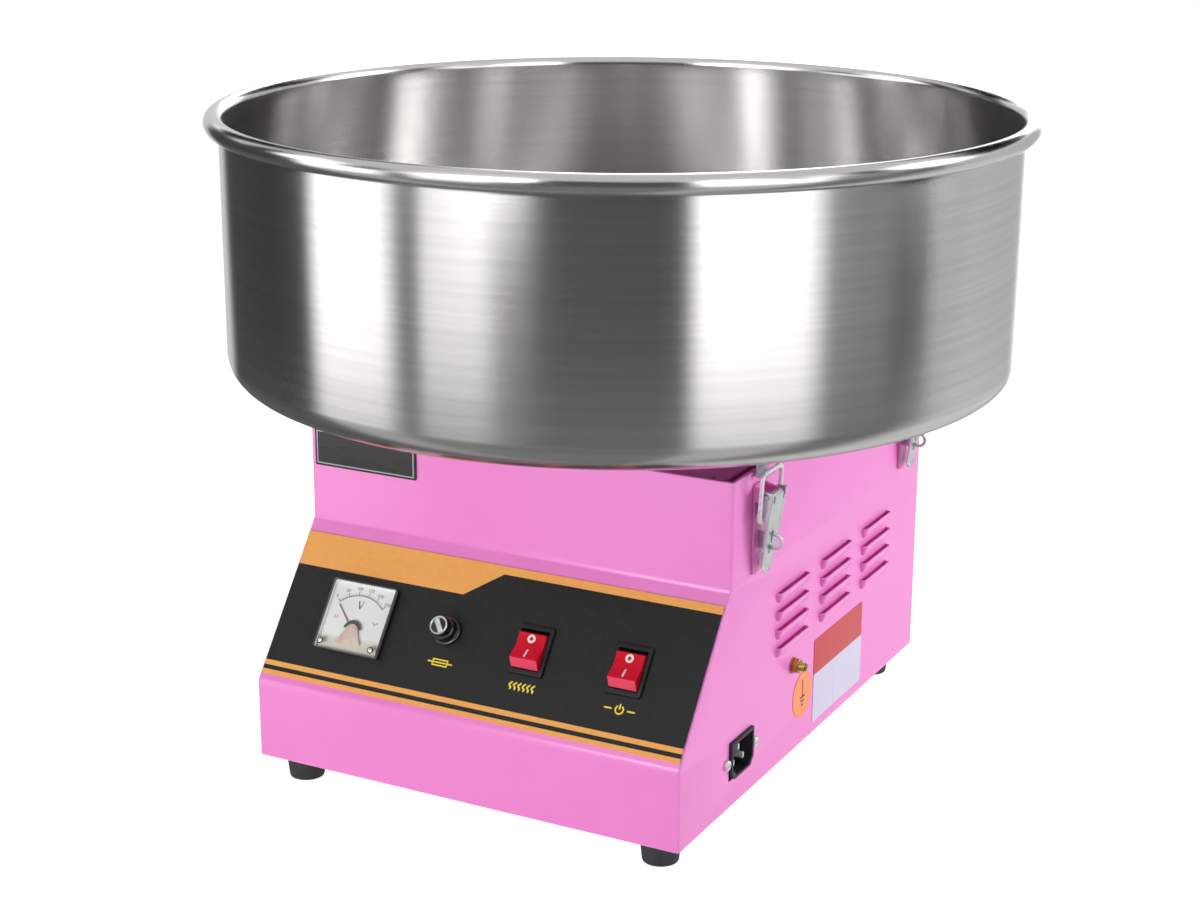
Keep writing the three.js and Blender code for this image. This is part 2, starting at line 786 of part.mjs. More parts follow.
function latchBase() {
  const half = latchBaseWidth / 2;
  const plan = rounded([[-half, -latchBaseBottom], [half, -latchBaseBottom], [half, latchBaseTop],
    [-half, latchBaseTop]], latchBaseCorner, 1);
  let base = solid(slab(plan, latchSheet, seat));
  const ear = [[seat, -latchEarRoot], ...arc(latchHingeOut, 0, latchEarTip, -Math.PI / 2, Math.PI / 2, 4),
    [seat, latchEarRoot]];
  for (const side of [-1, 1]) {
    base = base.add(solid(acrossLatch(ear, latchSheet, side * (latchBaseWidth - latchSheet) / 2)));
  }
  const pinLength = leverWidth + 2 * latchPinEnd;
  const pin = cylinder(latchPinRadius, pinLength, -pinLength / 2, 8).rotateY(Math.PI / 2);
  base = base.add(solid(pin.translate(0, 0, latchHingeOut)));
  const staple = [[seat, -stapleDrop - stapleOuter],
    ...arc(stapleOut, -stapleDrop, stapleOuter, -Math.PI / 2, Math.PI / 2, 4),
    [seat, -stapleDrop + stapleOuter]];
  base = base.add(solid(acrossLatch(staple, stapleSheet)));
  const eye = polygon(stapleEye, 8).map(([out, up]) => [out + stapleOut, up - stapleDrop]);
  return base.subtract(solid(acrossLatch(eye, 4 * stapleSheet)));
}

// The lever: a tapered web with a rounded tip, a slot for the staple, a notch that clears the
// base's ears, and two ears of its own for the pin and the bail
function latchLever() {
  const tipRadius = leverTipWidth / 2;
  const half = leverWidth / 2;
  const notch = latchBaseWidth / 2 + slip;
  const plan = [...arc(0, tipRadius - leverLength, tipRadius, Math.PI, 2 * Math.PI, 5),
    [half, -leverLength / 2], [half, leverTop], [notch, leverTop], [notch, -leverNotchDown],
    [-notch, -leverNotchDown], [-notch, leverTop], [-half, leverTop], [-half, -leverLength / 2]];
  const slot = rounded(rectangle(leverSlotWidth, leverSlotLength, 0, -stapleDrop), leverSlotWidth / 3, 1);
  let lever = solid(slab(plan, latchSheet, leverOut, [slot]).rotateX(leverTilt));
  const webOut = (up) => (leverOut + latchSheet / 2) / Math.cos(leverTilt) + up * Math.tan(leverTilt);
  const earTop = leverTop - 1;
  const ear = [[webOut(earTop), earTop], ...arc(0, 0, leverEarRadius, Math.PI / 2, Math.PI, 2),
    ...arc(-bailInset, -bailDrop, leverEarRadius, Math.PI, 1.5 * Math.PI, 2),
    [webOut(-leverEarBottom), -leverEarBottom]];
  for (const side of [-1, 1]) {
    lever = lever.add(solid(acrossLatch(ear, latchSheet, side * (leverWidth - latchSheet) / 2)));
  }
  const holes = [[0, 0, latchPinRadius + seat], [-bailInset, -bailDrop, bailWire + seat]];
  for (const [out, up, radius] of holes) {
    const hole = cylinder(radius, 2 * leverWidth, -leverWidth, 8).rotateY(Math.PI / 2);
    lever = lever.subtract(solid(hole.translate(0, up, out)));
  }
  return lever;
}

// A path of straight runs whose corners are turned into bends of the given reach
function bentPath(corners, bends) {
  const path = new THREE.CurvePath();
  let from = corners[0];
  for (let i = 1; i + 1 < corners.length; i++) {
    const toward = (other) => corners[i].clone()
      .addScaledVector(other.clone().sub(corners[i]).normalize(), bends[i - 1]);
    const [before, after] = [toward(corners[i - 1]), toward(corners[i + 1])];
    path.add(new THREE.LineCurve3(from, before));
    path.add(new THREE.QuadraticBezierCurve3(before, corners[i], after));
    from = after;
  }
  path.add(new THREE.LineCurve3(from, corners[corners.length - 1]));
  return path;
}

// The bail: one bent wire, its ends turned in through the lever's ears
function latchBail() {
  const rise = bailDrop + bailTop;
  const lean = (bailInset - bailTopInset) / rise;
  const inner = leverWidth / 2 - latchSheet - bailEnd;
  const plan = [[-inner, 0], [-bailHalfWidth, 0], [-bailHalfWidth, rise], [bailHalfWidth, rise],
    [bailHalfWidth, 0], [inner, 0]];
  const corners = plan.map(([x, up]) => new THREE.Vector3(x, up, up * lean));
  const extrudePath = bentPath(corners, [bailFootBend, bailBend, bailBend, bailFootBend]);
  const section = outline(polygon(bailWire, 5));
  return new THREE.ExtrudeGeometry(section, { extrudePath, steps: 18, bevelEnabled: false });
}

function buildLatches() {
  const places = { right_front: [rightSide, latchFrontY], right_rear: [rightSide, latchRearY] };
  places.left_front = [leftSide, -latchFrontY];
  places.left_rear = [leftSide, -latchRearY];
  for (const [name, [side, along]] of Object.entries(places)) {
    const frame = new THREE.Group();
    frame.position.set(along, latchHingeZ, 0);
    side.add(frame);
    piece(`latch_base_${name}`, latchBase(), zinc, frame);
    piece(`latch_lever_${name}`, latchLever(), zinc, frame).position.set(0, 0, latchHingeOut);
    const bail = piece(`latch_bail_${name}`, latchBail(), zinc, frame);
    bail.position.set(0, -bailDrop, latchHingeOut - bailInset);
    piece(`keeper_${name}`, keeperGeometry(), steel, frame);
  }
}

// Rotating parts on the shaft, and the motor that turns them
function buildDrive() {
  const bore = shaftRadius + seat;
  const shaftBottomZ = motorBottomZ - shaftDrop;
  const shaftTopZ = panBottomZ + hubHeight + hubNutHeight + shaftEnd;
  piece('drive_shaft', cylinder(shaftRadius, shaftTopZ - shaftBottomZ, shaftBottomZ, 16), steel);

  const flangeZ = motorFlangeTopZ - motorFlangeThickness;
  const stackZ = (motorBottomZ + flangeZ) / 2;
  const bellZ = motorBottomZ + motorBossHeight;
  const motor = [[bore, motorBottomZ], [motorBossRadius, motorBottomZ], [motorBossRadius, bellZ],
    [motorRadius - motorEdge, bellZ], [motorRadius, bellZ + motorEdge],
    [motorRadius, stackZ - stackLength / 2], [stackRadius, stackZ - stackLength / 2],
    [stackRadius, stackZ + stackLength / 2], [motorRadius, stackZ + stackLength / 2],
    [motorRadius, flangeZ], [motorFlangeRadius, flangeZ], [motorFlangeRadius, motorFlangeTopZ],
    [bore, motorFlangeTopZ]];
  piece('motor', turned(motor, 16), black);

  const isolatorZ = motorFlangeTopZ + seat;
  const waistZ = isolatorRim + isolatorTaper;
  const bobbin = [[0, 0], [isolatorRadius, 0], [isolatorRadius, isolatorRim], [isolatorWaist, waistZ],
    [isolatorWaist, isolatorHeight - waistZ], [isolatorRadius, isolatorHeight - isolatorRim],
    [isolatorRadius, isolatorHeight], [0, isolatorHeight]];
  for (let i = 0; i < isolatorCount; i++) {
    const angle = Math.PI / 2 + 2 * Math.PI * i / isolatorCount;
    const isolator = piece(`motor_isolator_${i + 1}`, turned(bobbin, 10), rubber);
    isolator.position.set(isolatorCircle * Math.cos(angle), isolatorCircle * Math.sin(angle), isolatorZ);
  }

  const fanZ = motorFlangeTopZ + (isolatorHeight - fanHeight) / 2;
  let fan = solid(cylinder(fanHubRadius, fanHeight, 0, 12));
  for (let i = 0; i < fanBlades; i++) {
    const reach = fanRadius - fanHubRadius + fanBladeRoot;
    const blade = new THREE.BoxGeometry(reach, fanBladeThickness, fanHeight);
    blade.rotateX(fanPitchAngle).translate(fanRadius - reach / 2, 0, fanHeight / 2);
    fan = fan.add(solid(blade.rotateZ(2 * Math.PI * i / fanBlades)));
  }
  fan = fan.subtract(solid(cylinder(bore, 4 * fanHeight, -fanHeight, 12)));
  piece('cooling_fan', fan, aluminium).position.set(0, 0, fanZ);

  const bushZ = motorBottomZ - slipBushDrop - slipBushLength;
  const ringZs = [-1, 1].map((side) => bushZ + slipBushLength / 2 + side * slipRingPitch / 2);
  const ringSteps = ringZs.flatMap((z) => [[slipBushRadius, z - slipRingWidth / 2],
    [slipRingRadius, z - slipRingWidth / 2], [slipRingRadius, z + slipRingWidth / 2],
    [slipBushRadius, z + slipRingWidth / 2]]);
  const bush = [[bore, bushZ], [slipBushRadius, bushZ], ...ringSteps,
    [slipBushRadius, bushZ + slipBushLength], [bore, bushZ + slipBushLength]];
  piece('slip_ring_bush', turned(bush, 10), brass);

  const holderX = slipRingRadius + holderGap;
  const holderEndX = holderX + holderLength;
  const holderTopZ = motorBottomZ - seat;
  let holder = solid(box(holderX, holderEndX, -holderWidth / 2, holderWidth / 2, bushZ, holderTopZ));
  ringZs.forEach((z, i) => {
    const [across, up] = [brushWidth / 2, brushHeight / 2];
    const channel = box(holderX - seat, holderEndX + seat, -across - seat, across + seat, z - up - seat,
      z + up + seat);
    holder = holder.subtract(solid(channel));
    const tip = slipRingRadius + seat;
    const brush = box(tip, tip + brushLength, -across, across, z - up, z + up);
    piece(['brush_lower', 'brush_upper'][i], brush, black);
  });
  piece('brush_holder', holder, black);
}

function buildSpinner() {
  const bore = shaftRadius + seat;
  const lipWall = panRadius - panLipWall;
  const pan = [[bore, 0], [panRadius - panEdge, 0], [panRadius, panEdge], [panRadius, panLip],
    [lipWall, panLip], [lipWall, panFloor], [hubRadius + hubFoot, panFloor], [hubRadius, panFloor + hubFoot],
    [hubRadius, hubHeight], [bore, hubHeight]];
  let panSolid = solid(turned(pan, headSides));
  const postTop = lidBottomZ - panBottomZ - seat;
  for (let i = 0; i < postCount; i++) {
    const angle = 2 * Math.PI * i / postCount;
    const post = cylinder(postRadius, postTop - panFloor / 2, panFloor / 2, 8);
    post.translate(postCircle * Math.cos(angle), postCircle * Math.sin(angle), 0);
    panSolid = panSolid.add(solid(post));
  }
  piece('spinner_pan', panSolid, aluminium).position.set(0, 0, panBottomZ);

  const outer = polygon(bandRadius, bandSlots);
  const inner = polygon(bandRadius - bandWall, bandSlots);
  let band = solid(slab(outer, bandHeight, 0, [inner]));
  for (let i = 0; i < bandSlots; i++) {
    const slot = box(bandRadius - 4 * bandWall, bandRadius + bandWall, -bandSlotWidth / 2, bandSlotWidth / 2,
      bandSlotMargin, bandHeight - bandSlotMargin);
    band = band.subtract(solid(slot.rotateZ(2 * Math.PI * (i + 0.5) / bandSlots)));
  }
  piece('spinner_band', band, steel).position.set(0, 0, panTopZ + seat);

  const points = 4 * heaterWaves;
  const wave = (radius) => Array.from({ length: points }, (_, i) => {
    const angle = 2 * Math.PI * i / points;
    const reach = radius + heaterWave * Math.sin(heaterWaves * angle + Math.PI / 4);
    return [reach * Math.cos(angle), reach * Math.sin(angle)];
  });
  const ribbon = slab(wave(heaterRadius), heaterHeight, 0, [wave(heaterRadius - heaterWall)]);
  piece('heater_ribbon', ribbon, steel).position.set(0, 0, panTopZ + seat);

  const skirt = panRadius - lidSkirtWall;
  const lid = [[lidHoleRadius, 0], [skirt, 0], [skirt, -lidSkirt], [panRadius, -lidSkirt],
    [panRadius, lidThickness - lidEdge], [panRadius - lidEdge, lidThickness],
    [lidHoleRadius + lidCollarFoot, lidThickness + lidEdge], [lidHoleRadius + lidCollarWall, lidCollar],
    [lidHoleRadius, lidCollar]];
  piece('spinner_lid', turned(lid, headSides), aluminium).position.set(0, 0, lidBottomZ);

  const nut = slab(polygon(hubNutAcross / Math.sqrt(3), 6), hubNutHeight, 0, [polygon(bore, 16)]);
  piece('hub_nut', nut, steel).position.set(0, 0, panBottomZ + hubHeight + seat);
}

function buildPanelOverlay() {
  const tall = overlayBottom - overlayTop;
  const middle = -(overlayTop + overlayBottom) / 2;
  const deep = 4 * overlayThickness;
  const switchHole = rectangle(switchBoxWidth + 2 * slip, switchBoxHeight + 2 * slip);
  const holes = [
    cylinder(meterBarrelRadius + slip, deep, 0, 24).translate(meterX, -meterDown, 0),
    cylinder(fuseBarrelRadius + slip, deep, 0, 16).translate(fuseX, -fuseDown, 0),
    slab(switchHole, deep).translate(heatX, -switchDown, 0),
    slab(switchHole, deep).translate(powerX, -switchDown, 0),
  ];
  let overlay = solid(slab(rectangle(overlayWidth, tall, 0, middle), overlayThickness, seat));
  for (const hole of holes) overlay = overlay.subtract(solid(hole));
  piece('control_overlay', overlay, black, slope);

  const plateY = upperFrontY - seat;
  const plate = box(namePlateLeft, namePlateLeft + namePlateWidth, plateY - namePlateThickness, plateY,
    namePlateBottomZ, namePlateBottomZ + namePlateHeight);
  piece('name_plate', plate, black);
}

function buildMeter() {
  const face = overlayFace + seat;
  const frame = new THREE.Group();
  frame.position.set(meterX, -meterDown, 0);
  slope.add(frame);
  const square = rounded(rectangle(meterSize, meterSize), meterCorner, 2);
  const flange = solid(slab(square, meterFlange, face));
  const barrelTop = face + meterFlange / 2;
  const barrel = solid(cylinder(meterBarrelRadius, meterBarrelDepth + barrelTop, -meterBarrelDepth, 24));
  const movement = cylinder(meterBoreRadius, 2 * meterBarrelDepth, meterBoreFloor - meterBarrelDepth, 12);
  movement.translate(0, -needlePivotDown, 0);
  piece('meter_case', flange.add(barrel).subtract(solid(movement)), black, frame);

  const coverBottom = face + meterFlange + seat;
  const cover = solid(slab(square, meterCover, coverBottom));
  const hollow = rectangle(meterSize - 2 * meterWall, meterSize - 2 * meterWall);
  const hollowDepth = meterCover - meterWall;
  const cavity = solid(slab(hollow, hollowDepth + 1, coverBottom - 1));
  piece('meter_window', cover.subtract(cavity), clear, frame);

  const dialSize = meterSize - 2 * meterWall - 2 * meterDialInset;
  const dial = slab(rectangle(dialSize, dialSize), meterDialThickness, coverBottom,
    [polygon(needleHubRadius + slip, 12).map(([x, y]) => [x, y - needlePivotDown])]);
  piece('meter_dial', dial, white, frame);

  const needleZ = coverBottom + meterDialThickness + seat;
  const arm = slab([[-needleWidth / 2, 0], [needleWidth / 2, 0], [needleWidth / 4, needleLength],
    [-needleWidth / 4, needleLength]], needleThickness, needleZ);
  const hub = cylinder(needleHubRadius, needleThickness, needleZ, 12);
  const spindle = cylinder(spindleRadius, needleZ + needleThickness / 2 + spindleDepth, -spindleDepth, 8);
  const weight = slab(rectangle(2 * needleWidth, needleTail, 0, -needleTail / 2), needleThickness, needleZ);
  const needle = solid(arm).add(solid(hub)).add(solid(weight)).add(solid(spindle));
  const pointer = piece('meter_needle', needle, red, frame);
  pointer.position.set(0, -needlePivotDown, 0);
  pointer.rotation.z = needleZeroAngle;
}

function buildFuse() {
  const face = overlayFace + seat;
  const frame = new THREE.Group();
  frame.position.set(fuseX, -fuseDown, 0);
  slope.add(frame);
  const collarTop = face + fuseFlange + fuseCollarHeight;
  const body = [[fuseBoreRadius, -fuseBarrelDepth], [fuseBarrelRadius, -fuseBarrelDepth],
    [fuseBarrelRadius, face], [fuseFlangeRadius, face], [fuseFlangeRadius, face + fuseFlange - fuseEdge],
    [fuseFlangeRadius - fuseEdge, face + fuseFlange], [fuseCollarRadius, face + fuseFlange],
    [fuseCollarRadius - fuseEdge, collarTop], [fuseBoreRadius, collarTop]];
  piece('fuse_holder', turned(body, 14), black, frame);

  const capBottom = collarTop + seat;
  const stem = fuseBoreRadius - seat;
  const cap = [[0, capBottom - fuseStemDepth], [stem, capBottom - fuseStemDepth], [stem, capBottom],
    [fuseCapRadius, capBottom], [fuseCapRadius, capBottom + fuseCapHeight - fuseEdge],
    [fuseCapRadius - fuseEdge, capBottom + fuseCapHeight], [0, capBottom + fuseCapHeight]];
  const slot = slab(rectangle(fuseSlotLength, fuseSlotWidth), 2 * fuseSlotDepth,
    capBottom + fuseCapHeight - fuseSlotDepth);
  piece('fuse_cap', solid(turned(cap, 16)).subtract(solid(slot)), black, frame);

  const linkTop = capBottom - fuseStemDepth - seat;
  piece('fuse_link', cylinder(fuseLinkRadius, fuseLinkLength, linkTop - fuseLinkLength, 12), clear, frame);
}

function buildSwitch(name, x) {
  const face = overlayFace + seat;
  const frame = new THREE.Group();
  frame.position.set(x, -switchDown, 0);
  slope.add(frame);
  const bezelTop = face + bezelThickness;
  const windowWidth = rockerWidth + 2 * slip;
  const windowLength = 2 * (rockerHalfLength + slip);
  const bezel = solid(slab(rounded(rectangle(bezelWidth, bezelHeight), bezelRadius), bezelThickness, face));
  const boxTop = face + bezelThickness / 2;
  const back = slab(rectangle(switchBoxWidth, switchBoxHeight), switchBoxDepth + boxTop, -switchBoxDepth);
  const window = solid(slab(rectangle(windowWidth, windowLength), switchCavity + 1, bezelTop - switchCavity));
  piece(`${name}_switch_body`, bezel.add(solid(back)).subtract(window), black, frame);

  const profile = [[-rockerKeel, -rockerSink], [rockerKeel, -rockerSink], [rockerHalfLength, -rockerPivot],
    [rockerRidge, rockerRise], [0, rockerValley], [-rockerRidge, rockerRise],
    [-rockerHalfLength, -rockerPivot]];
  const mesh = piece(`${name}_rocker`, acrossWidth(profile, rockerWidth), red, frame);
  mesh.position.set(0, 0, bezelTop - rockerPivot);
  mesh.rotation.x = -rockerTilt;
}

// The inlet's front outline: a rectangle with its two lower corners cut off
function inletOutline(grow) {
  const [w, h] = [inletWidth / 2 + grow, inletHeight / 2 + grow];
  return [[-w + inletChamfer, -h], [w - inletChamfer, -h], [w, -h + inletChamfer], [w, h], [-w, h],
    [-w, -h + inletChamfer]];
}

function buildInlet() {
  const frame = new THREE.Group();
  frame.position.set(inletY, inletZ, 0);
  rightSide.add(frame);
  const behind = -sheet - seat;
  const back = inletProud - inletDepth;
  let socket = solid(slab(inletOutline(0), inletDepth, back));
  const ears = rounded(rectangle(inletEarLength, inletEarHeight), inletEarCorner);
  socket = socket.add(solid(slab(ears, inletEar, behind - inletEar)));
  socket = socket.subtract(solid(slab(inletOutline(-inletRim), inletCavity + 1, inletProud - inletCavity)));
  const pinBottom = inletProud - inletCavity - 1;
  for (const [y, z] of [[-pinSpacing, -pinEarthRise], [pinSpacing, -pinEarthRise], [0, pinEarthRise]]) {
    socket = socket.add(solid(slab(rectangle(pinWidth, pinHeight, y, z), pinLength + 1, pinBottom)));
  }
  const screws = { front: -1, rear: 1 };
  for (const side of Object.values(screws)) {
    const hole = cylinder(inletScrewRadius + seat, 2 * inletDepth, -inletDepth, 12);
    socket = socket.subtract(solid(hole.translate(side * inletScrewPitch / 2, 0, 0)));
  }
  piece('inlet_socket', socket, black, frame);
  for (const [name, side] of Object.entries(screws)) {
    const top = seat + inletScrewHead;
    const section = [[0, seat - inletScrewLength], [inletScrewRadius, seat - inletScrewLength],
      [inletScrewRadius, seat], [inletScrewHeadRadius, seat], [inletScrewHeadRadius, top - inletScrewEdge],
      [inletScrewHeadRadius - inletScrewEdge, top], [0, top]];
    const slot = slab(rectangle(inletScrewSlotLength, inletScrewSlotWidth), 2 * inletScrewSlotDepth,
      top - inletScrewSlotDepth);
    const body = solid(turned(section, 10)).subtract(solid(slot));
    const screw = piece(`inlet_screw_${name}`, body, steel, frame);
    screw.position.set(side * inletScrewPitch / 2, 0, 0);
  }

  const inside = -sheet - seat;
  const rootZ = inside - studHead / 2;
  let stud = solid(cylinder(studRadius, studLength - rootZ, rootZ, 12));
  stud = stud.add(solid(slab(polygon(studNutAcross / Math.sqrt(3), 6), studNut, seat)));
  stud = stud.add(solid(cylinder(studHeadRadius, studHead, inside - studHead, 12)));
  piece('earth_stud', stud, brass, rightSide).position.set(studY, studZ, 0);
}

function buildTerminalBlock() {
  const bottom = baseTopZ + seat;
  const half = blockWidth / 2;
  const step = half - blockStep;
  const section = [[-half, 0], [half, 0], [half, blockHeight - blockStep], [step, blockHeight - blockStep],
    [step, blockHeight], [-step, blockHeight], [-step, blockHeight - blockStep],
    [-half, blockHeight - blockStep]];
  let block = solid(acrossWidth(section, blockLength));
  const pitch = blockLength / blockWells;
  for (let i = 0; i < blockWells; i++) {
    const well = cylinder(blockWellRadius, blockHeight, blockHeight / 2, 6);
    block = block.subtract(solid(well.translate((i - (blockWells - 1) / 2) * pitch, 0, 0)));
  }
  piece('terminal_block', block, white).position.set(blockX, blockY, bottom);
}

buildCasing();
buildPanels();
buildFeet();
buildBridge();
buildBowl();
buildLatches();
buildDrive();
buildSpinner();
buildPanelOverlay();
buildMeter();
buildFuse();
buildSwitch('heat', heatX);
buildSwitch('power', powerX);
buildInlet();
buildTerminalBlock();

export default machine;
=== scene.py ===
# Looks for a bench-top candy-floss machine: a painted sheet-steel casing with a sloped control
# panel, a stainless bowl held by toggle latches, and a spinner head inside the bowl.
from math import cos, pi, radians, sin

import bmesh
import bpy
from mathutils import Matrix, Vector


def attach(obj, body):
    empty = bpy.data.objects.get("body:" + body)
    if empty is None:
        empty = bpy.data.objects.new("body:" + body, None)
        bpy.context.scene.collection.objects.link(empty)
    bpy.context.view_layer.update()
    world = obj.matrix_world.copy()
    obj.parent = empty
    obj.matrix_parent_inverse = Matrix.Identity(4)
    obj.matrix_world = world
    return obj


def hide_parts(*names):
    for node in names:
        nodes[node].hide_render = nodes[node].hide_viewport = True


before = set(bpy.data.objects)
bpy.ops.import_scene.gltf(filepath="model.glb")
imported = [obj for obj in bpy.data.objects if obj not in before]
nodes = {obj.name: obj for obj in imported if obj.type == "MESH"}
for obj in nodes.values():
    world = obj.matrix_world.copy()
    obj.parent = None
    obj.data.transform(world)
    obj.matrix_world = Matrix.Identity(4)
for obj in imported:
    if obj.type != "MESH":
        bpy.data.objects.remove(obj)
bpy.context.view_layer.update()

# Studio: a camera on a long lens a little above the rim, large soft lamps, a white floor, and a
# room that is white to the camera and whose walls metal sees as bands of light and dark.
scene = bpy.context.scene
scene.view_settings.view_transform = "Standard"
aim = Vector((0.01968, -0.06611, 0.20242))
eye = Vector((0.6555, -1.2736, 0.6092))
bpy.ops.object.camera_add(location=eye)
camera = bpy.context.object
camera.name = "studio_camera"
level = (aim - eye).to_track_quat("-Z", "Y").to_matrix()
camera.rotation_euler = (level @ Matrix.Rotation(radians(0.27), 3, "Z")).to_euler()
camera.data.lens = 68.5
camera.data.sensor_width = 36
scene.camera = camera


def seen(red, green, blue):
    """A colour as the eye sees it, 0 to 255, as the linear values that nodes take."""
    return tuple(c / 3294.6 if c < 11 else ((c / 255 + 0.055) / 1.055) ** 2.4
                 for c in (red, green, blue)) + (1.0,)


def add_node(tree, kind, inputs=None, **settings):
    """A shader node; each input is given a value or the socket that feeds it."""
    made = tree.nodes.new("ShaderNode" + kind)
    for key, value in settings.items():
        setattr(made, key, value)
    for key, value in (inputs or {}).items():
        if isinstance(value, bpy.types.NodeSocket):
            tree.links.new(value, made.inputs[key])
        else:
            made.inputs[key].default_value = value
    return made


def calc(tree, operation, one, other, third=None):
    """One step of arithmetic."""
    terms = {0: one, 1: other} if third is None else {0: one, 1: other, 2: third}
    return add_node(tree, "Math", terms, operation=operation).outputs[0]


def mapped(tree, value, begin, end, low=0.0, high=1.0, **settings):
    """A value brought from one range to another and kept inside it."""
    return add_node(tree, "MapRange", {0: value, 1: begin, 2: end, 3: low, 4: high},
                    **settings).outputs[0]


def blend_colour(tree, factor, one, other):
    """One colour where the factor is 0 and the other where it is 1. Three numbers are as in seen."""
    one, other = [seen(*tone) if isinstance(tone, tuple) and len(tone) == 3 else tone
                  for tone in (one, other)]
    return add_node(tree, "Mix", {0: factor, 6: one, 7: other}, data_type="RGBA").outputs[2]


def add_ramp(tree, factor, stops):
    """A colour ramp with these stops, each a position and a grey or a colour."""
    ramp = add_node(tree, "ValToRGB", {0: factor})
    while len(ramp.color_ramp.elements) < len(stops):
        ramp.color_ramp.elements.new(1.0)
    for element, (position, tone) in zip(ramp.color_ramp.elements, stops):
        element.position = position
        element.color = tone if isinstance(tone, tuple) else (tone, tone, tone, 1.0)
    return ramp.outputs[0]


world = bpy.data.worlds.new("studio")
scene.world = world
world.use_nodes = True
room = world.node_tree
room.nodes.clear()
toward = add_node(room, "SeparateXYZ", {0: add_node(room, "TexCoord").outputs["Generated"]}).outputs
around = mapped(room, calc(room, "ARCTAN2", toward["Y"], toward["X"]), -pi, pi)
# each wall's brightness by the bearing in degrees, below, about and above the bowl's own height
low_walls = ((-180, 0.06), (-160, 0.06), (-154, 0.25), (-132, 0.25), (-125, 0.12), (-46, 0.12),
             (-40, 0.28), (-12, 0.28), (-4, 0.1), (20, 0.1), (45, 0.4), (85, 0.4), (110, 0.08),
             (180, 0.06))
middle_walls = ((-180, 0.03), (-160, 0.03), (-154, 1.0), (-132, 1.0), (-125, 0.12), (-121, 0.1),
                (-117, 0.68), (-102, 0.64), (-95, 0.14), (-85, 0.06), (-46, 0.05), (-41, 1.0),
                (-12, 1.0), (-4, 0.2), (12, 0.15), (20, 0.04), (27, 0.04), (34, 0.27), (50, 0.34),
                (88, 0.28), (95, 0.9), (112, 0.9), (122, 0.37), (144, 0.37), (151, 0.04), (180, 0.03))
high_walls = ((-175, 0), (-165, 0.32), (-155, 0.21), (-145, 0), (-135, 0), (-125, 0.08), (-115, 0.21),
              (-105, 0.64), (-95, 0.84), (-85, 0), (-45, 0), (-35, 0.49), (-25, 0.21), (-15, 0.03),
              (-5, 0.13), (5, 0), (15, 0), (25, 0.35), (35, 1.0), (45, 0.14), (55, 0), (105, 0),
              (115, 0.59), (125, 0), (155, 0), (165, 0.09), (175, 0))
low, middle, high = [add_ramp(room, around, [(angle / 360 + 0.5, tone) for angle, tone in walls])
                     for walls in (low_walls, middle_walls, high_walls)]
height = toward["Z"]
MIDDLE_TO_HIGH = (0.22, 0.3)
walls = blend_colour(room, mapped(room, height, -0.31, -0.28), low, middle)
walls = blend_colour(room, mapped(room, height, *MIDDLE_TO_HIGH), walls, high)
walls = blend_colour(room, mapped(room, height, 0.55, 0.65), walls, (0.06, 0.06, 0.06, 1))
higher = mapped(room, height, *MIDDLE_TO_HIGH, 1.85, 12.5)
from_above = mapped(room, height, -0.1, 0.7, 0.44, 0.17)
ray = add_node(room, "LightPath").outputs
white_ray = calc(room, "MAXIMUM", ray["Is Camera Ray"], ray["Is Transmission Ray"])
soft = add_node(room, "Background", {"Color": (1, 1, 1, 1), "Strength": from_above}).outputs[0]
wall_light = add_node(room, "Background", {"Color": walls, "Strength": higher}).outputs[0]
white = add_node(room, "Background", {"Color": (1, 1, 1, 1), "Strength": 1.0}).outputs[0]
gloss = add_node(room, "MixShader", {0: ray["Is Glossy Ray"], 1: soft, 2: wall_light}).outputs[0]
whole = add_node(room, "MixShader", {0: white_ray, 1: gloss, 2: white}).outputs[0]
add_node(room, "OutputWorld", {"Surface": whole})


def soft_lamp(name, place, width, height, power):
    """A large flat lamp that faces the middle of the machine."""
    bpy.ops.object.light_add(type="AREA", location=place)
    lamp = bpy.context.object
    lamp.name = name
    lamp.data.shape = "RECTANGLE"
    lamp.data.size = width
    lamp.data.size_y = height
    lamp.data.energy = power
    middle = Vector((0, 0, 0.2))
    lamp.rotation_euler = (middle - Vector(place)).to_track_quat("-Z", "Y").to_euler()
    lamp.visible_glossy = False
    lamp.visible_camera = False


soft_lamp("lamp_right", (1.8, 1.0, 0.3), 1.4, 0.56, 27)
soft_lamp("lamp_front", (-0.6, -2.3, 0.28), 1.6, 0.52, 28)
soft_lamp("lamp_top", (0.2, -0.2, 2.6), 2.0, 2.0, 6)

bpy.ops.mesh.primitive_plane_add(size=12, location=(0, 0, -0.0002))
floor = bpy.context.object
floor.name = "floor"
floor_white = bpy.data.materials.new("floor_white")
floor_white.use_nodes = True
ground = floor_white.node_tree
ground.nodes.clear()
pale = add_node(ground, "BsdfDiffuse", {"Color": (0.9, 0.9, 0.9, 1)}).outputs[0]
to_camera = add_node(ground, "LightPath").outputs["Is Camera Ray"]
glows = [add_node(ground, "Emission", {"Color": (1, 1, 1, 1), "Strength": strength}).outputs[0]
         for strength in (0.3, 0.85)]
lifted, lit = [add_node(ground, "AddShader", {0: pale, 1: glow}).outputs[0] for glow in glows]
shown = add_node(ground, "MixShader", {0: to_camera, 1: lifted, 2: lit}).outputs[0]
add_node(ground, "OutputMaterial", {"Surface": shown})
floor.data.materials.append(floor_white)
floor.visible_glossy = False

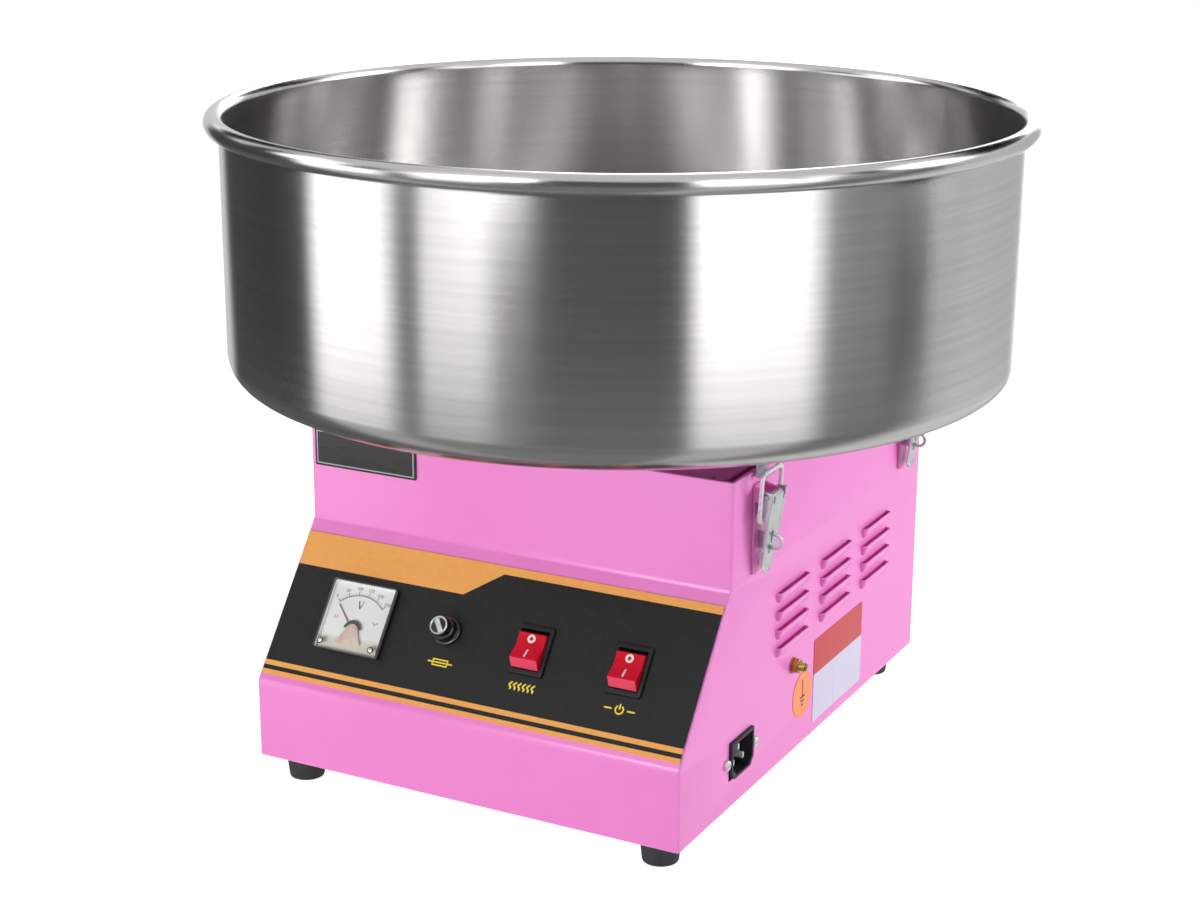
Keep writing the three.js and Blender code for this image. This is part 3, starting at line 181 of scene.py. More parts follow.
# Casing: one blank of 1.2 mm sheet folded to an upper front, a sloped panel, a lower front and two
# sides, its top edge hemmed over. Three columns of four louvres are pressed out of each side. It is
# powder-coated pink.
CASE_HALF = 145.5
UPPER_FRONT = -141
LOWER_FRONT = -207
CASE_REAR = 168
CASE_BOTTOM = 17
FOLD_LOW = 67
FOLD_HIGH = 155
CASE_TOP = 220
SHEET = 1.2


def start(kind, name, extent=(1, 1, 1), place=(0, 0, 0), **settings):
    """A primitive at its size and place in millimetres, open for editing, all of it selected."""
    if bpy.context.mode != "OBJECT":
        bpy.ops.object.mode_set(mode="OBJECT")
    bpy.ops.object.select_all(action="DESELECT")
    getattr(bpy.ops.mesh, f"primitive_{kind}_add")(**settings)
    obj = bpy.context.object
    obj.name = name
    bpy.ops.object.mode_set(mode="EDIT")
    bpy.ops.transform.resize(value=extent)
    bpy.ops.transform.translate(value=place)
    return obj


def pick(kind, test):
    """Selects the faces, edges or verts whose middle passes the test, and nothing else."""
    modes = {"faces": "FACE", "edges": "EDGE", "verts": "VERT"}
    bpy.ops.mesh.select_mode(type=modes[kind])
    bpy.ops.mesh.select_all(action="DESELECT")
    shape = bmesh.from_edit_mesh(bpy.context.edit_object.data)
    for item in getattr(shape, kind):
        corners = [item] if kind == "verts" else item.verts
        middle = sum((corner.co for corner in corners), Vector()) / len(corners)
        item.select_set(bool(test(middle, item)))
    bmesh.update_edit_mesh(bpy.context.edit_object.data)


def pull(shift):
    """Extrudes what is selected in the object being edited."""
    bpy.ops.mesh.extrude_region_move(TRANSFORM_OT_translate={"value": shift})


def split_at(place, normal, **settings):
    """Cuts all of the object being edited along a plane."""
    bpy.ops.mesh.select_all(action="SELECT")
    bpy.ops.mesh.bisect(plane_co=place, plane_no=normal, **settings)


def choose(*objs):
    """Only these objects are selected, the first of them active."""
    if bpy.context.mode != "OBJECT":
        bpy.ops.object.mode_set(mode="OBJECT")
    bpy.ops.object.select_all(action="DESELECT")
    for obj in objs:
        obj.select_set(True)
    bpy.context.view_layer.objects.active = objs[0]


def modify(obj, kind, **settings):
    """Puts a modifier on an object and applies it."""
    choose(obj)
    modifier = obj.modifiers.new(kind, kind)
    for key, value in settings.items():
        setattr(modifier, key, value)
    bpy.ops.object.modifier_apply(modifier=modifier.name)


def copied(obj, name, shift=(0, 0, 0), turn=(0, 0, 0)):
    """A copy with its own mesh, turned about the origin and then shifted."""
    choose(obj)
    bpy.ops.object.duplicate()
    twin = bpy.context.object
    twin.name = name
    twin.rotation_euler = [radians(angle) for angle in turn]
    twin.location = shift
    bpy.ops.object.transform_apply()
    return twin


def mirrored(obj, name):
    """A copy on the other side of the machine, its faces turned outwards again."""
    twin = copied(obj, name)
    twin.scale = (-1, 1, 1)
    bpy.ops.object.transform_apply()
    bpy.ops.object.mode_set(mode="EDIT")
    bpy.ops.mesh.select_all(action="SELECT")
    bpy.ops.mesh.normals_make_consistent(inside=False)
    bpy.ops.object.mode_set(mode="OBJECT")
    return twin


def join(*objs):
    """Makes one object of several, under the first one's name."""
    choose(*objs)
    bpy.ops.object.join()
    return objs[0]


def discard(*objs):
    """Removes objects that only helped to shape others."""
    for obj in objs:
        bpy.data.objects.remove(obj)


def carve(obj, *cutters):
    """Cuts the cutters out of an object and removes them."""
    for cutter in cutters:
        modify(obj, "BOOLEAN", object=cutter, operation="DIFFERENCE", solver="EXACT")
        discard(cutter)


def settle(obj, finish, body, replaces=(), place=(0, 0, 0), turn=(0, 0, 0), smooth=30):
    """Places a piece in the frame, in metres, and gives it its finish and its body."""
    choose(obj)
    obj.rotation_euler = [radians(angle) for angle in turn]
    obj.location = [value / 1000 for value in place]
    obj.scale = (0.001, 0.001, 0.001)
    bpy.ops.object.transform_apply()
    bpy.ops.object.shade_smooth_by_angle(angle=radians(smooth))
    obj.data.materials.clear()
    obj.data.materials.append(finish)
    if replaces:
        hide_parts(*replaces)
    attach(obj, body)


def new_finish(name, **values):
    """A material whose principled shader has these plain values, with its tree and its shader."""
    finish = bpy.data.materials.new(name)
    finish.use_nodes = True
    shader = finish.node_tree.nodes["Principled BSDF"]
    for key, value in values.items():
        shader.inputs[key.replace("_", " ")].default_value = value
    return finish, finish.node_tree, shader


def feed(shader, **sources):
    """Feeds the shader's inputs of these names from these sockets."""
    for key, source in sources.items():
        shader.id_data.links.new(source, shader.inputs[key.replace("_", " ")])


def new_group(name, inputs, outputs):
    """An empty node group with these named sockets, and what its inputs give."""
    group = bpy.data.node_groups.new(name, "ShaderNodeTree")
    for socket, kind in inputs:
        group.interface.new_socket(socket, in_out="INPUT", socket_type="NodeSocket" + kind)
    for socket, kind in outputs:
        group.interface.new_socket(socket, in_out="OUTPUT", socket_type="NodeSocket" + kind)
    return group, group.nodes.new("NodeGroupInput").outputs, group.nodes.new("NodeGroupOutput").inputs


def own_spot(tree):
    """The point on a piece, in metres."""
    return add_node(tree, "TexCoord").outputs["Object"]


def noise(tree, spot, scale, detail, roughness=0.5):
    """Noise of this scale at a spot."""
    return add_node(tree, "TexNoise", {"Vector": spot, "Scale": scale, "Detail": detail,
                                       "Roughness": roughness}).outputs[0]


# the unevenness of a finish, stretched along the axes, as a mask and a height
grain_group, given, result = new_group("fine_grain", (("Stretch", "Vector"), ("Scale", "Float")),
                                       (("Mask", "Float"), ("Height", "Float")))
pulled = add_node(grain_group, "VectorMath", {0: own_spot(grain_group), 1: given["Stretch"]},
                  operation="MULTIPLY").outputs[0]
specks = noise(grain_group, pulled, given["Scale"], 4.0, 0.6)
grain_group.links.new(mapped(grain_group, specks, 0.3, 0.7), result["Mask"])
grain_group.links.new(specks, result["Height"])


def grain(tree, scale, stretch=(1, 1, 1)):
    """The fine_grain group placed in a material."""
    return add_node(tree, "Group", {"Stretch": stretch, "Scale": scale}, node_tree=grain_group).outputs


def scaled(tree, factor, low, high):
    """A mask from 0 to 1 brought to a range."""
    return mapped(tree, factor, 0.0, 1.0, low, high)


def bump(tree, height, strength, distance):
    """A bump normal of a height."""
    return add_node(tree, "Bump", {"Height": height, "Strength": strength,
                                   "Distance": distance}).outputs[0]


# where an outer edge is rubbed, and along the casing's folds where it carries a painted highlight, as
# a mask broken up by the grain
edge_group, given, result = new_group("worn_and_highlit_edges", (("Radius", "Float"), ("Scale", "Float")),
                                      (("Mask", "Float"),))
rounded = add_node(edge_group, "Bevel", {"Radius": given["Radius"]}, samples=4).outputs[0]
facing = add_node(edge_group, "NewGeometry").outputs["Normal"]
bent = add_node(edge_group, "VectorMath", {0: rounded, 1: facing},
                operation="DOT_PRODUCT").outputs["Value"]
near_edge = mapped(edge_group, bent, 0.995, 0.9)
patches = mapped(edge_group, noise(edge_group, own_spot(edge_group), given["Scale"], 3.0), 0.45, 0.65)
edge_group.links.new(calc(edge_group, "MULTIPLY", near_edge, patches), result["Mask"])


def worn_and_highlit_edges(tree, radius, scale):
    """The worn_and_highlit_edges group placed in a material."""
    return add_node(tree, "Group", {"Radius": radius, "Scale": scale}, node_tree=edge_group).outputs[0]


def speckled(name, dark, light, scale, rough, relief=0.0, stretch=(1, 1, 1), edge_wear_and_highlight=None, **values):
    """A finish whose colour and roughness wander with a fine grain, with a little relief or with
    edges rubbed to a colour."""
    finish, tree, shader = new_finish(name, **values)
    specks = grain(tree, scale, stretch)
    tone = blend_colour(tree, specks["Mask"], dark, light)
    if edge_wear_and_highlight:
        radius, patches, bared = edge_wear_and_highlight
        tone = blend_colour(tree, worn_and_highlit_edges(tree, radius, patches), tone, bared)
    feed(shader, Base_Color=tone, Roughness=scaled(tree, specks["Mask"], *rough))
    if relief:
        feed(shader, Normal=bump(tree, specks["Height"], 1.0, relief))
    return finish


pink, tree, shader = new_finish("pink_paint", Coat_Weight=0.4, Coat_Roughness=0.08)
cloudy = grain(tree, 45)
shade = blend_colour(tree, cloudy["Mask"], (243, 137, 212), (245, 140, 214))
# the lighter pink at the edges is partly rubbed paint and partly a painted highlight along the folds
edge_wear_and_highlight = worn_and_highlit_edges(tree, 0.0012, 70.0)
feed(shader, Base_Color=blend_colour(tree, edge_wear_and_highlight, shade, (251, 178, 230)),
     Roughness=scaled(tree, cloudy["Mask"], 0.3, 0.33),
     Normal=bump(tree, grain(tree, 900)["Height"], 0.03, 0.0001))

LOUVRE_LENGTH = 46.5
LOUVRE_HEIGHT = 7
LOUVRE_PROUD = 4
LOUVRE_END = 3
LOUVRE_COLUMNS = (-52, 17.5, 87)
LOUVRE_ROWS = (96.5, 108.4, 120.3, 132.2)
SIDE_TURN = (90, 0, 90)
SLOPE_TURN = (53.13, 0, 0)
SLOPE_BACK = 0.6
SLOPE_DOWN = 0.8


def put(obj, shift=(0, 0, 0), turn=(0, 0, 0)):
    """Turns an object about the origin and then shifts it."""
    choose(obj)
    obj.rotation_euler = [radians(angle) for angle in turn]
    obj.location = shift
    bpy.ops.object.transform_apply()
    return obj


def on_slope(x, down, out=0):
    """The point at x, so far down the sloped panel from its upper fold and so far out of it."""
    return (x, UPPER_FRONT - SLOPE_BACK * down - SLOPE_DOWN * out,
            FOLD_HIGH - SLOPE_DOWN * down + SLOPE_BACK * out)


METER = on_slope(-89, 60.4)
FUSE = on_slope(-26, 56.6)
SWITCHES = {"heat": on_slope(32.6, 58), "power": on_slope(97.7, 58)}
INLET = (CASE_HALF, -123.5, 46.5)
EARTH = (CASE_HALF, -46, 75.5)


def softened(obj, width, segments=3, sharp=35):
    """Rounds an object's edges that are sharper than an angle."""
    modify(obj, "BEVEL", width=width, segments=segments, limit_method="ANGLE",
           angle_limit=radians(sharp))
    return obj


def block(name, extent, place=(0, 0, 0), corner=0, edge=0):
    """A block with its upright edges rounded to one radius and the rest to another."""
    obj = start("cube", name, extent, place, size=1)
    if corner:
        pick("edges", lambda m, e: abs((e.verts[0].co - e.verts[1].co).normalized().z) > 0.9)
        bpy.ops.mesh.bevel(offset=corner, segments=5, affect="EDGES")
    bpy.ops.object.mode_set(mode="OBJECT")
    return softened(obj, edge, sharp=40) if edge else obj


def rod(name, radius, length, place=(0, 0, 0), edge=0, vertices=32):
    """An upright round bar with its rims rounded."""
    obj = start("cylinder", name, place=place, vertices=vertices, radius=radius, depth=length)
    bpy.ops.object.mode_set(mode="OBJECT")
    return softened(obj, edge, sharp=40) if edge else obj


# a box is drawn up fold by fold, opened at its floor, top and back, and its top edge turned in
# and down
casing = start("plane", "casing", (2 * CASE_HALF, CASE_REAR - LOWER_FRONT, 1),
               (0, (CASE_REAR + LOWER_FRONT) / 2, CASE_BOTTOM), size=1)
for rise in (FOLD_LOW - CASE_BOTTOM, FOLD_HIGH - FOLD_LOW, CASE_TOP - FOLD_HIGH):
    pull((0, 0, rise))
pick("verts", lambda m, v: m.y < UPPER_FRONT and m.z > FOLD_LOW + 1)
bpy.ops.transform.translate(value=(0, UPPER_FRONT - LOWER_FRONT, 0))
pick("faces", lambda m, f: abs(f.normal.z) > 0.9 or f.normal.y > 0.9)
bpy.ops.mesh.delete(type="FACE")
pick("edges", lambda m, e: m.z > CASE_TOP - 1)
hem = 2 * SHEET + 0.2
pull((0, 0, 0))
bpy.ops.transform.resize(value=(1 - hem / CASE_HALF, 1 - hem / (CASE_REAR - UPPER_FRONT), 1),
                         center_override=(0, CASE_REAR, CASE_TOP))
pull((0, 0, -9))
pick("edges", lambda m, e: 0.5 < e.calc_face_angle(0) < 0.8)
bpy.ops.mesh.bevel(offset=2.5, segments=4, affect="EDGES")
pick("edges", lambda m, e: e.calc_face_angle(0) > 1.4 and m.z < CASE_TOP - 1)
bpy.ops.mesh.bevel(offset=1.5, segments=3, affect="EDGES")
pick("edges", lambda m, e: e.calc_face_angle(0) > 1.4)
bpy.ops.mesh.bevel(offset=0.8, segments=3, affect="EDGES")
modify(casing, "SOLIDIFY", thickness=SHEET, offset=-1, use_even_offset=True)

# a louvre's hood is a quarter of a ball drawn out to the louvre's length
hood = start("uv_sphere", "hood", segments=32, ring_count=13)
bpy.ops.transform.rotate(value=pi / 2, orient_axis="Y", center_override=(0, 0, 0))
split_at((0, 0, 0), (0, 0, 1), clear_inner=True)
split_at((0, 0, 0), (0, 1, 0), clear_outer=True)
bpy.ops.mesh.select_all(action="SELECT")
bpy.ops.transform.resize(value=(LOUVRE_END, LOUVRE_HEIGHT, LOUVRE_PROUD), center_override=(0, 0, 0))
for side in (-1, 1):
    pick("verts", lambda m, v: m.x * side > 0)
    bpy.ops.transform.translate(value=(side * (LOUVRE_LENGTH / 2 - LOUVRE_END), 0, 0))
modify(hood, "SOLIDIFY", thickness=0.8, offset=-1)
slit = block("slit", (LOUVRE_LENGTH - 6, 1.1, 6), (0, -5.2, 0))
places = [(CASE_HALF - 0.2, y, z) for y in LOUVRE_COLUMNS for z in LOUVRE_ROWS]
hoods = join(*[copied(hood, "hood", place, SIDE_TURN) for place in places])
slits = join(*[copied(slit, "slit", place, SIDE_TURN) for place in places])
discard(hood, slit)
far_hoods = mirrored(hoods, "hood")
far_slits = mirrored(slits, "slit")

DEEP = 12
holes = [put(rod("hole", 19.5, DEEP), METER, SLOPE_TURN),
         put(rod("hole", 6.5, DEEP), FUSE, SLOPE_TURN),
         *[put(block("hole", (22.4, 29.4, DEEP)), place, SLOPE_TURN) for place in SWITCHES.values()],
         put(block("hole", (32.6, 25.1, DEEP)), INLET, SIDE_TURN),
         put(rod("hole", 3.4, DEEP), EARTH, SIDE_TURN)]
carve(casing, join(slits, far_slits, *holes))
flanges = [block("flange", extent, place) for extent, place in (
    ((272, 10, 1.2), (0, -200.6, 19.1)), ((10, 368, 1.2), (139.2, -20, 19.1)),
    ((10, 368, 1.2), (-139.2, -20, 19.1)), ((10, 1.2, 190), (139.2, 165.9, 115)),
    ((10, 1.2, 190), (-139.2, 165.9, 115)))]
join(casing, hoods, far_hoods, *flanges)
settle(casing, pink, "machine", ["casing_shell"])

# Base plate: zinc-plated sheet with eight vent slots, held to the casing's flanges by pan-head
# screws from below.
zinc, tree, shader = new_finish("zinc_plate", Metallic=1.0)
spangle = grain(tree, 90)
brushed = grain(tree, 500, (1, 1, 0.08))
shade = blend_colour(tree, spangle["Mask"], (198, 203, 206), (222, 226, 228))
edge_wear_and_highlight = worn_and_highlit_edges(tree, 0.0006, 300.0)
feed(shader, Base_Color=blend_colour(tree, edge_wear_and_highlight, shade, (236, 238, 240)),
     Roughness=scaled(tree, brushed["Mask"], 0.28, 0.42),
     Normal=bump(tree, brushed["Height"], 0.08, 0.0002))


def dress(finish, *names):
    """Gives CAD nodes a finish."""
    for name in names:
        nodes[name].data.materials.clear()
        nodes[name].data.materials.append(finish)


def close(capped=True):
    """Joins the points of the object being edited, caps its open ends and turns its faces out."""
    bpy.ops.mesh.select_all(action="SELECT")
    bpy.ops.mesh.remove_doubles(threshold=0.001)
    if capped:
        bpy.ops.mesh.fill_holes(sides=0)
    bpy.ops.mesh.normals_make_consistent(inside=False)
    bpy.ops.object.mode_set(mode="OBJECT")


def turned(name, profile, sides=64, capped=True):
    """A ring drawn at the first radius and height of a profile and extruded from point to point."""
    (radius, height), *rest = profile
    obj = start("circle", name, place=(0, 0, height), radius=radius, vertices=sides)
    for wider, higher in rest:
        pull((0, 0, higher - height))
        grow = wider / radius
        bpy.ops.transform.resize(value=(grow, grow, 1), center_override=(0, 0, higher))
        radius, height = wider, higher
    close(capped)
    return obj


def arc(x, y, radius, begin, end, steps):
    """Points on an arc, its angles in degrees."""
    angles = [radians(begin + (end - begin) * i / steps) for i in range(steps + 1)]
    return [(x + radius * cos(angle), y + radius * sin(angle)) for angle in angles]


def pan_screw(radius, height, slot=True):
    """A pan-head screw's head, standing on the origin."""
    head = turned("screw", [(radius * 0.5, -0.6), (radius, 0), (radius, 0.3 * height),
                            (0.93 * radius, 0.65 * height), (0.72 * radius, 0.9 * height),
                            (0.3 * radius, height)], sides=32)
    if slot:
        carve(head, block("slot", (1.3 * radius, 0.22 * radius, height), (0, 0, 0.95 * height)),
              block("slot", (0.22 * radius, 1.3 * radius, height), (0, 0, 0.95 * height)))
    return head


dress(zinc, "base_plate")
screw = pan_screw(3.2, 1.8)
below = [copied(screw, "screw", (x, y, 16.9), (180, 0, 0))
         for x in (-139, 139) for y in (-160, 0, 130)]
screws = join(*below)
screws.name = "base_screws"
settle(screws, zinc, "machine")

# Rear panel: flat pink sheet held by eight pan-head screws.
dress(pink, "rear_panel")
behind = [copied(screw, "screw", (x, CASE_REAR + 0.1, z), (-90, 0, 0))
          for x in (-138, 138) for z in (30, 90, 150, 208)]
screws = join(*behind)
screws.name = "rear_screws"
settle(screws, zinc, "machine")
discard(screw)

# Feet: four black rubber feet, each a short cone with a recess for its screw.
rubber = speckled("black_rubber", (44, 45, 46), (62, 64, 65), 300, (0.62, 0.8), 0.0001)
foot = turned("foot", [(4.5, 8), (4.5, 0.5), (5, 0), (9.9, 0), (10.6, 0.3), (10.9, 1), (12.6, 15.7),
                       (12.4, 16.4), (11.7, 16.7)])
for front_rear, y in (("front", -187), ("rear", 146)):
    for side, x in (("left", -124.5), ("right", 124.5)):
        one = copied(foot, f"rubber_foot_{front_rear}_{side}")
        settle(one, rubber, "machine", [f"foot_{front_rear}_{side}"], (x, y, 0))
discard(foot)

# Bridge and seat ring: a folded deck across the casing and a flanged ring on it that carries the
# bowl, both painted pink.
def finer(node, name, width):
    """A copy of a CAD node in millimetres, its triangles joined to faces and its edges rounded."""
    obj = copied(nodes[node], name)
    obj.parent = None
    obj.scale = (1000, 1000, 1000)
    choose(obj)
    bpy.ops.object.transform_apply()
    bpy.ops.object.mode_set(mode="EDIT")
    bpy.ops.mesh.select_all(action="SELECT")
    bpy.ops.mesh.remove_doubles(threshold=0.005)
    bpy.ops.mesh.dissolve_limited(angle_limit=radians(1))
    bpy.ops.object.mode_set(mode="OBJECT")
    return softened(obj, width, 2, 50)


bridge = finer("bridge", "bridge_sheet", 0.3)
# its top is split, because one face all round the hole overlaps itself in triangles
bpy.ops.object.mode_set(mode="EDIT")
for normal in ((1, 0, 0), (0, 1, 0)):
    split_at((0, -80, 0), normal)
bpy.ops.object.mode_set(mode="OBJECT")
settle(bridge, pink, "machine", ["bridge"])
section = [(124, 213.05), *arc(114, 214.8, 1.75, 270, 180, 4), *arc(110.2, 237.9, 2.05, 0, 90, 5),
           (103, 239.95)]
ring = turned("seat_ring", section, sides=96, capped=False)
modify(ring, "SOLIDIFY", thickness=1.5, offset=0, use_even_offset=True)
settle(ring, pink, "machine", ["bowl_seat_ring"])

# Bowl: spun from one disc of 1.2 mm stainless sheet, with an upturned collar round the hole for the
# head, a straight wall and a rim rolled outwards over a bead. The sheet is brushed round the axis.
BOWL_FLOOR = 241.6
BOWL_WALL = 250.4
RIM_CENTRE = 254
RIM_HEIGHT = 402
RIM_CURL = 5.4


def round_lines(tree, shader, scale):
    """Noise in fine lines round the machine's axis. The shader's tangent is laid along them."""
    axes = add_node(tree, "SeparateXYZ", {0: own_spot(tree)}).outputs
    flat = add_node(tree, "CombineXYZ", {"X": axes["X"], "Y": axes["Y"]}).outputs[0]
    radius = add_node(tree, "VectorMath", {0: flat}, operation="LENGTH").outputs["Value"]
    lines_at = add_node(tree, "CombineXYZ", {"X": radius, "Y": axes["Z"]}).outputs[0]
    feed(shader, Tangent=add_node(tree, "Tangent", direction_type="RADIAL", axis="Z").outputs[0])
    return noise(tree, lines_at, scale, 3.0)


steel, tree, shader = new_finish("brushed_steel", Metallic=1.0, Roughness=0.2, Anisotropic=0.9,
                                 Anisotropic_Rotation=0.25)
broad_lines = round_lines(tree, shader, 260.0)
streaks_at = add_node(tree, "VectorMath", {0: own_spot(tree), 1: (18, 18, 1500)},
                      operation="MULTIPLY").outputs[0]
streaks = noise(tree, streaks_at, 1.0, 4.0)
feed(shader, Base_Color=blend_colour(tree, broad_lines, (202, 201, 200), (226, 225, 224)),
     Roughness=scaled(tree, streaks, 0.17, 0.23), Normal=bump(tree, streaks, 0.12, 0.0001))

section = [(86.6, 253.6), (86.6, 243.6), (88.6, BOWL_FLOOR), *arc(234, 258, 16.4, -90, 0, 8),
           (BOWL_WALL, RIM_HEIGHT - 6), *arc(RIM_CENTRE, RIM_HEIGHT, RIM_CURL, 180, -99, 20)]
bowl = turned("bowl_sheet", section, sides=192, capped=False)
modify(bowl, "SOLIDIFY", thickness=1.2, offset=0, use_even_offset=True)
settle(bowl, steel, "bowl_with_keepers", ["bowl"], smooth=40)

# Keepers: four hooks bent from 1.5 mm zinc-plated steel and welded under the bowl. Each latch's
# bail pulls on one.
LATCH_HEIGHT = 206
LATCHES = {"right_front": (CASE_HALF, -107, 90), "right_rear": (CASE_HALF, 134, 90),
           "left_front": (-CASE_HALF, -107, -90), "left_rear": (-CASE_HALF, 134, -90)}
KEEPER_WIDTH = 16


def drawn(name, points, low, high):
    """A flat outline given its corners in turn, raised from one height to another."""
    obj = start("circle", name, vertices=len(points), fill_type="NGON")
    shape = bmesh.from_edit_mesh(obj.data)
    for corner, (x, y) in zip(shape.verts, points):
        corner.co = (x, y, low)
    bmesh.update_edit_mesh(obj.data)
    pull((0, 0, high - low))
    bpy.ops.mesh.select_all(action="SELECT")
    bpy.ops.mesh.normals_make_consistent(inside=False)
    bpy.ops.object.mode_set(mode="OBJECT")
    return obj


def across(name, points, width, middle=0):
    """An outline of distance out of the wall and height, given its width along the wall."""
    return put(drawn(name, points, -middle - width / 2, -middle + width / 2), turn=(0, -90, 0))


keeper = across("keeper", ((1.5, 10.7), (7.1, 10.7), (7.1, 12.2), (3, 12.2), (3, 34.7), (-14.5, 34.7),
                           (-14.5, 33.2), (1.5, 33.2)), KEEPER_WIDTH)
softened(keeper, 0.4)
for name, (x, y, facing) in LATCHES.items():
    one = copied(keeper, f"bowl_keeper_{name}")
    settle(one, zinc, "bowl_with_keepers", [f"keeper_{name}"], (x, y, LATCH_HEIGHT),
           (90, 0, facing))
discard(keeper)

# Latches: each is a base plate spot-welded to the casing, with two ears, a hinge pin and a padlock
# staple; a pressed lever on the pin; and a wire bail in the lever's ears. The plate is given the
# casing's pink as a painted reflection of the pink wall in its metal.
HINGE_OUT = 9.5
LEVER_LEAN = 9.17
BAIL_DROP = 14
BAIL_INSET = 2.3
BAIL_LEAN = 3.36
LATCH_SHEET = 1.2
BASE_EAR = 6.9
LEVER_EAR = 9.4
STAPLE_OUT = 11.8
STAPLE_HEIGHT = -29
WIRE = 1.4


def welded(*objs):
    """Unites several objects into one closed body, under the first one's name."""
    first, *rest = objs
    for other in rest:
        modify(first, "BOOLEAN", object=other, operation="UNION", solver="EXACT")
        discard(other)
    return first


base = drawn("base", [*arc(-5.5, -48, 2, 180, 270, 4), *arc(5.5, -48, 2, 270, 360, 4),
                      *arc(5.5, 4, 2, 0, 90, 4), *arc(-5.5, 4, 2, 90, 180, 4)], 0.3, 1.5)
ear = [(0.3, -5), *arc(HINGE_OUT, 0, 2.6, -90, 90, 12), (0.3, 5)]
staple = [(0.3, -34.2), *arc(STAPLE_OUT, STAPLE_HEIGHT, 5.2, -90, 90, 16), (0.3, -23.8)]
eye = across("eye", arc(STAPLE_OUT, STAPLE_HEIGHT, 3.2, 0, 348.75, 31), 6)
base = welded(base, *[across("ear", ear, LATCH_SHEET, side * BASE_EAR) for side in (-1, 1)])
softened(base, 0.25, 2)
loop = across("staple", staple, 1.5)
carve(loop, eye)
softened(loop, 0.3, 2)
welds = [rod("weld", 1.6, 0.3, (0, y, 1.6), 0.12, 20) for y in (-44, -15)]
hinge_pin = put(rod("hinge_pin", 1.5, 21.4, edge=0.4), (0, 0, HINGE_OUT), (0, 90, 0))

web = [*arc(0, -41.5, 7.5, 180, 360, 16), (10, -24.5), (10, 3.8), (8.1, 3.8),
       *arc(6.95, -2.05, 1.15, 0, -180, 6), (5.8, 2.4), (5.2, 3.2), (-5.2, 3.2), (-5.8, 2.4),
       *arc(-6.95, -2.05, 1.15, 0, -180, 6), (-8.1, 3.8), (-10, 3.8), (-10, -24.5)]
lever = drawn("lever", web, 3.2, 3.2 + LATCH_SHEET)
# the lever's tip is bent outwards and the tongue between its notches inwards, each along two folds
# through corners of the outline
TIP_FOLDS = (-45.667, -44.37)
TONGUE_FOLDS = (1.0, 2.4)
bpy.ops.object.mode_set(mode="EDIT")
for fold in TIP_FOLDS + TONGUE_FOLDS:
    split_at((0, fold, 0), (0, 1, 0), threshold=0.01)
pick("verts", lambda m, v: m.y < TIP_FOLDS[0] + 0.05)
bpy.ops.transform.translate(value=(0, 0, 0.9))
pick("verts", lambda m, v: m.y > TONGUE_FOLDS[0] + 0.1 and abs(m.x) < 6)
bpy.ops.transform.translate(value=(0, -0.4, -1.2))
put(lever, turn=(LEVER_LEAN, 0, 0))
ear = [(4.33, 3), *arc(0, 0, 3.2, 90, 180, 8), *arc(-BAIL_INSET, -BAIL_DROP, 3.2, 180, 270, 8),
       (0.3, -22)]
lever = welded(lever, *[across("ear", ear, LATCH_SHEET, side * LEVER_EAR) for side in (-1, 1)])
carve(lever, put(block("slot", (3, 15, 8), (0, STAPLE_HEIGHT, 3.8), 1.4), turn=(LEVER_LEAN, 0, 0)),
      across("hole", arc(0, 0, 1.8, 0, 345, 23), 30),
      across("hole", arc(-BAIL_INSET, -BAIL_DROP, 1.7, 0, 345, 23), 30))
softened(lever, 0.28, 2)

# the bail's wire is drawn from one end round four bends to the other, each run with the middle of
# the bend that ends it
bail = start("circle", "bail", vertices=14, radius=WIRE)
bpy.ops.transform.rotate(value=pi / 2, orient_axis="Y", center_override=(0, 0, 0))
bpy.ops.transform.translate(value=(-8.8, 0, 0))
for run, bend in (((-2.8, 0, 0), (-11.6, 2.2, 0)), ((0, 22.3, 0), (-9.3, 24.5, 0)),
                  ((18.6, 0, 0), (9.3, 24.5, 0)), ((0, -22.3, 0), (11.6, 2.2, 0))):
    pull(run)
    bpy.ops.mesh.spin(steps=6, angle=pi / 2, center=bend, axis=(0, 0, 1))
pull((-2.8, 0, 0))
close()
put(bail, turn=(BAIL_LEAN, 0, 0))

bright_wire = speckled("bright_wire", (238, 238, 242), (248, 248, 250), 120, (0.24, 0.3), Metallic=0.5)
plating = speckled("bright_plating", (202, 207, 209), (222, 225, 226), 120, (0.26, 0.4), Metallic=0.75)
join(base, *welds)
for name, (x, y, facing) in LATCHES.items():
    turn = (90, 0, facing)
    outward = 1 if x > 0 else -1
    place = (x, y, LATCH_HEIGHT)
    # the plate's pink paint is a painted reflection of the pink casing in its bare metal
    settle(copied(base, f"latch_plate_{name}"), pink, "machine", [f"latch_base_{name}"],
           place, turn)
    for part, kind in ((loop, "padlock_staple"), (hinge_pin, "hinge_pin")):
        settle(copied(part, f"{kind}_{name}"), plating, "machine", (), place, turn)
    settle(copied(lever, f"toggle_lever_{name}"), plating, f"lever_{name}",
           [f"latch_lever_{name}"], (x + outward * HINGE_OUT, y, LATCH_HEIGHT), turn)
    settle(copied(bail, f"wire_bail_{name}"), bright_wire, f"bail_{name}",
           [f"latch_bail_{name}"],
           (x + outward * (HINGE_OUT - BAIL_INSET), y, LATCH_HEIGHT - BAIL_DROP), turn)
discard(base, loop, hinge_pin, lever, bail)

# Control overlay: a printed polycarbonate film, black with an orange header that steps down to a
# thin stripe, and two orange stripes along the bottom. Yellow signs are printed under the controls.
SLOPE_TOP = (0, UPPER_FRONT, FOLD_HIGH)


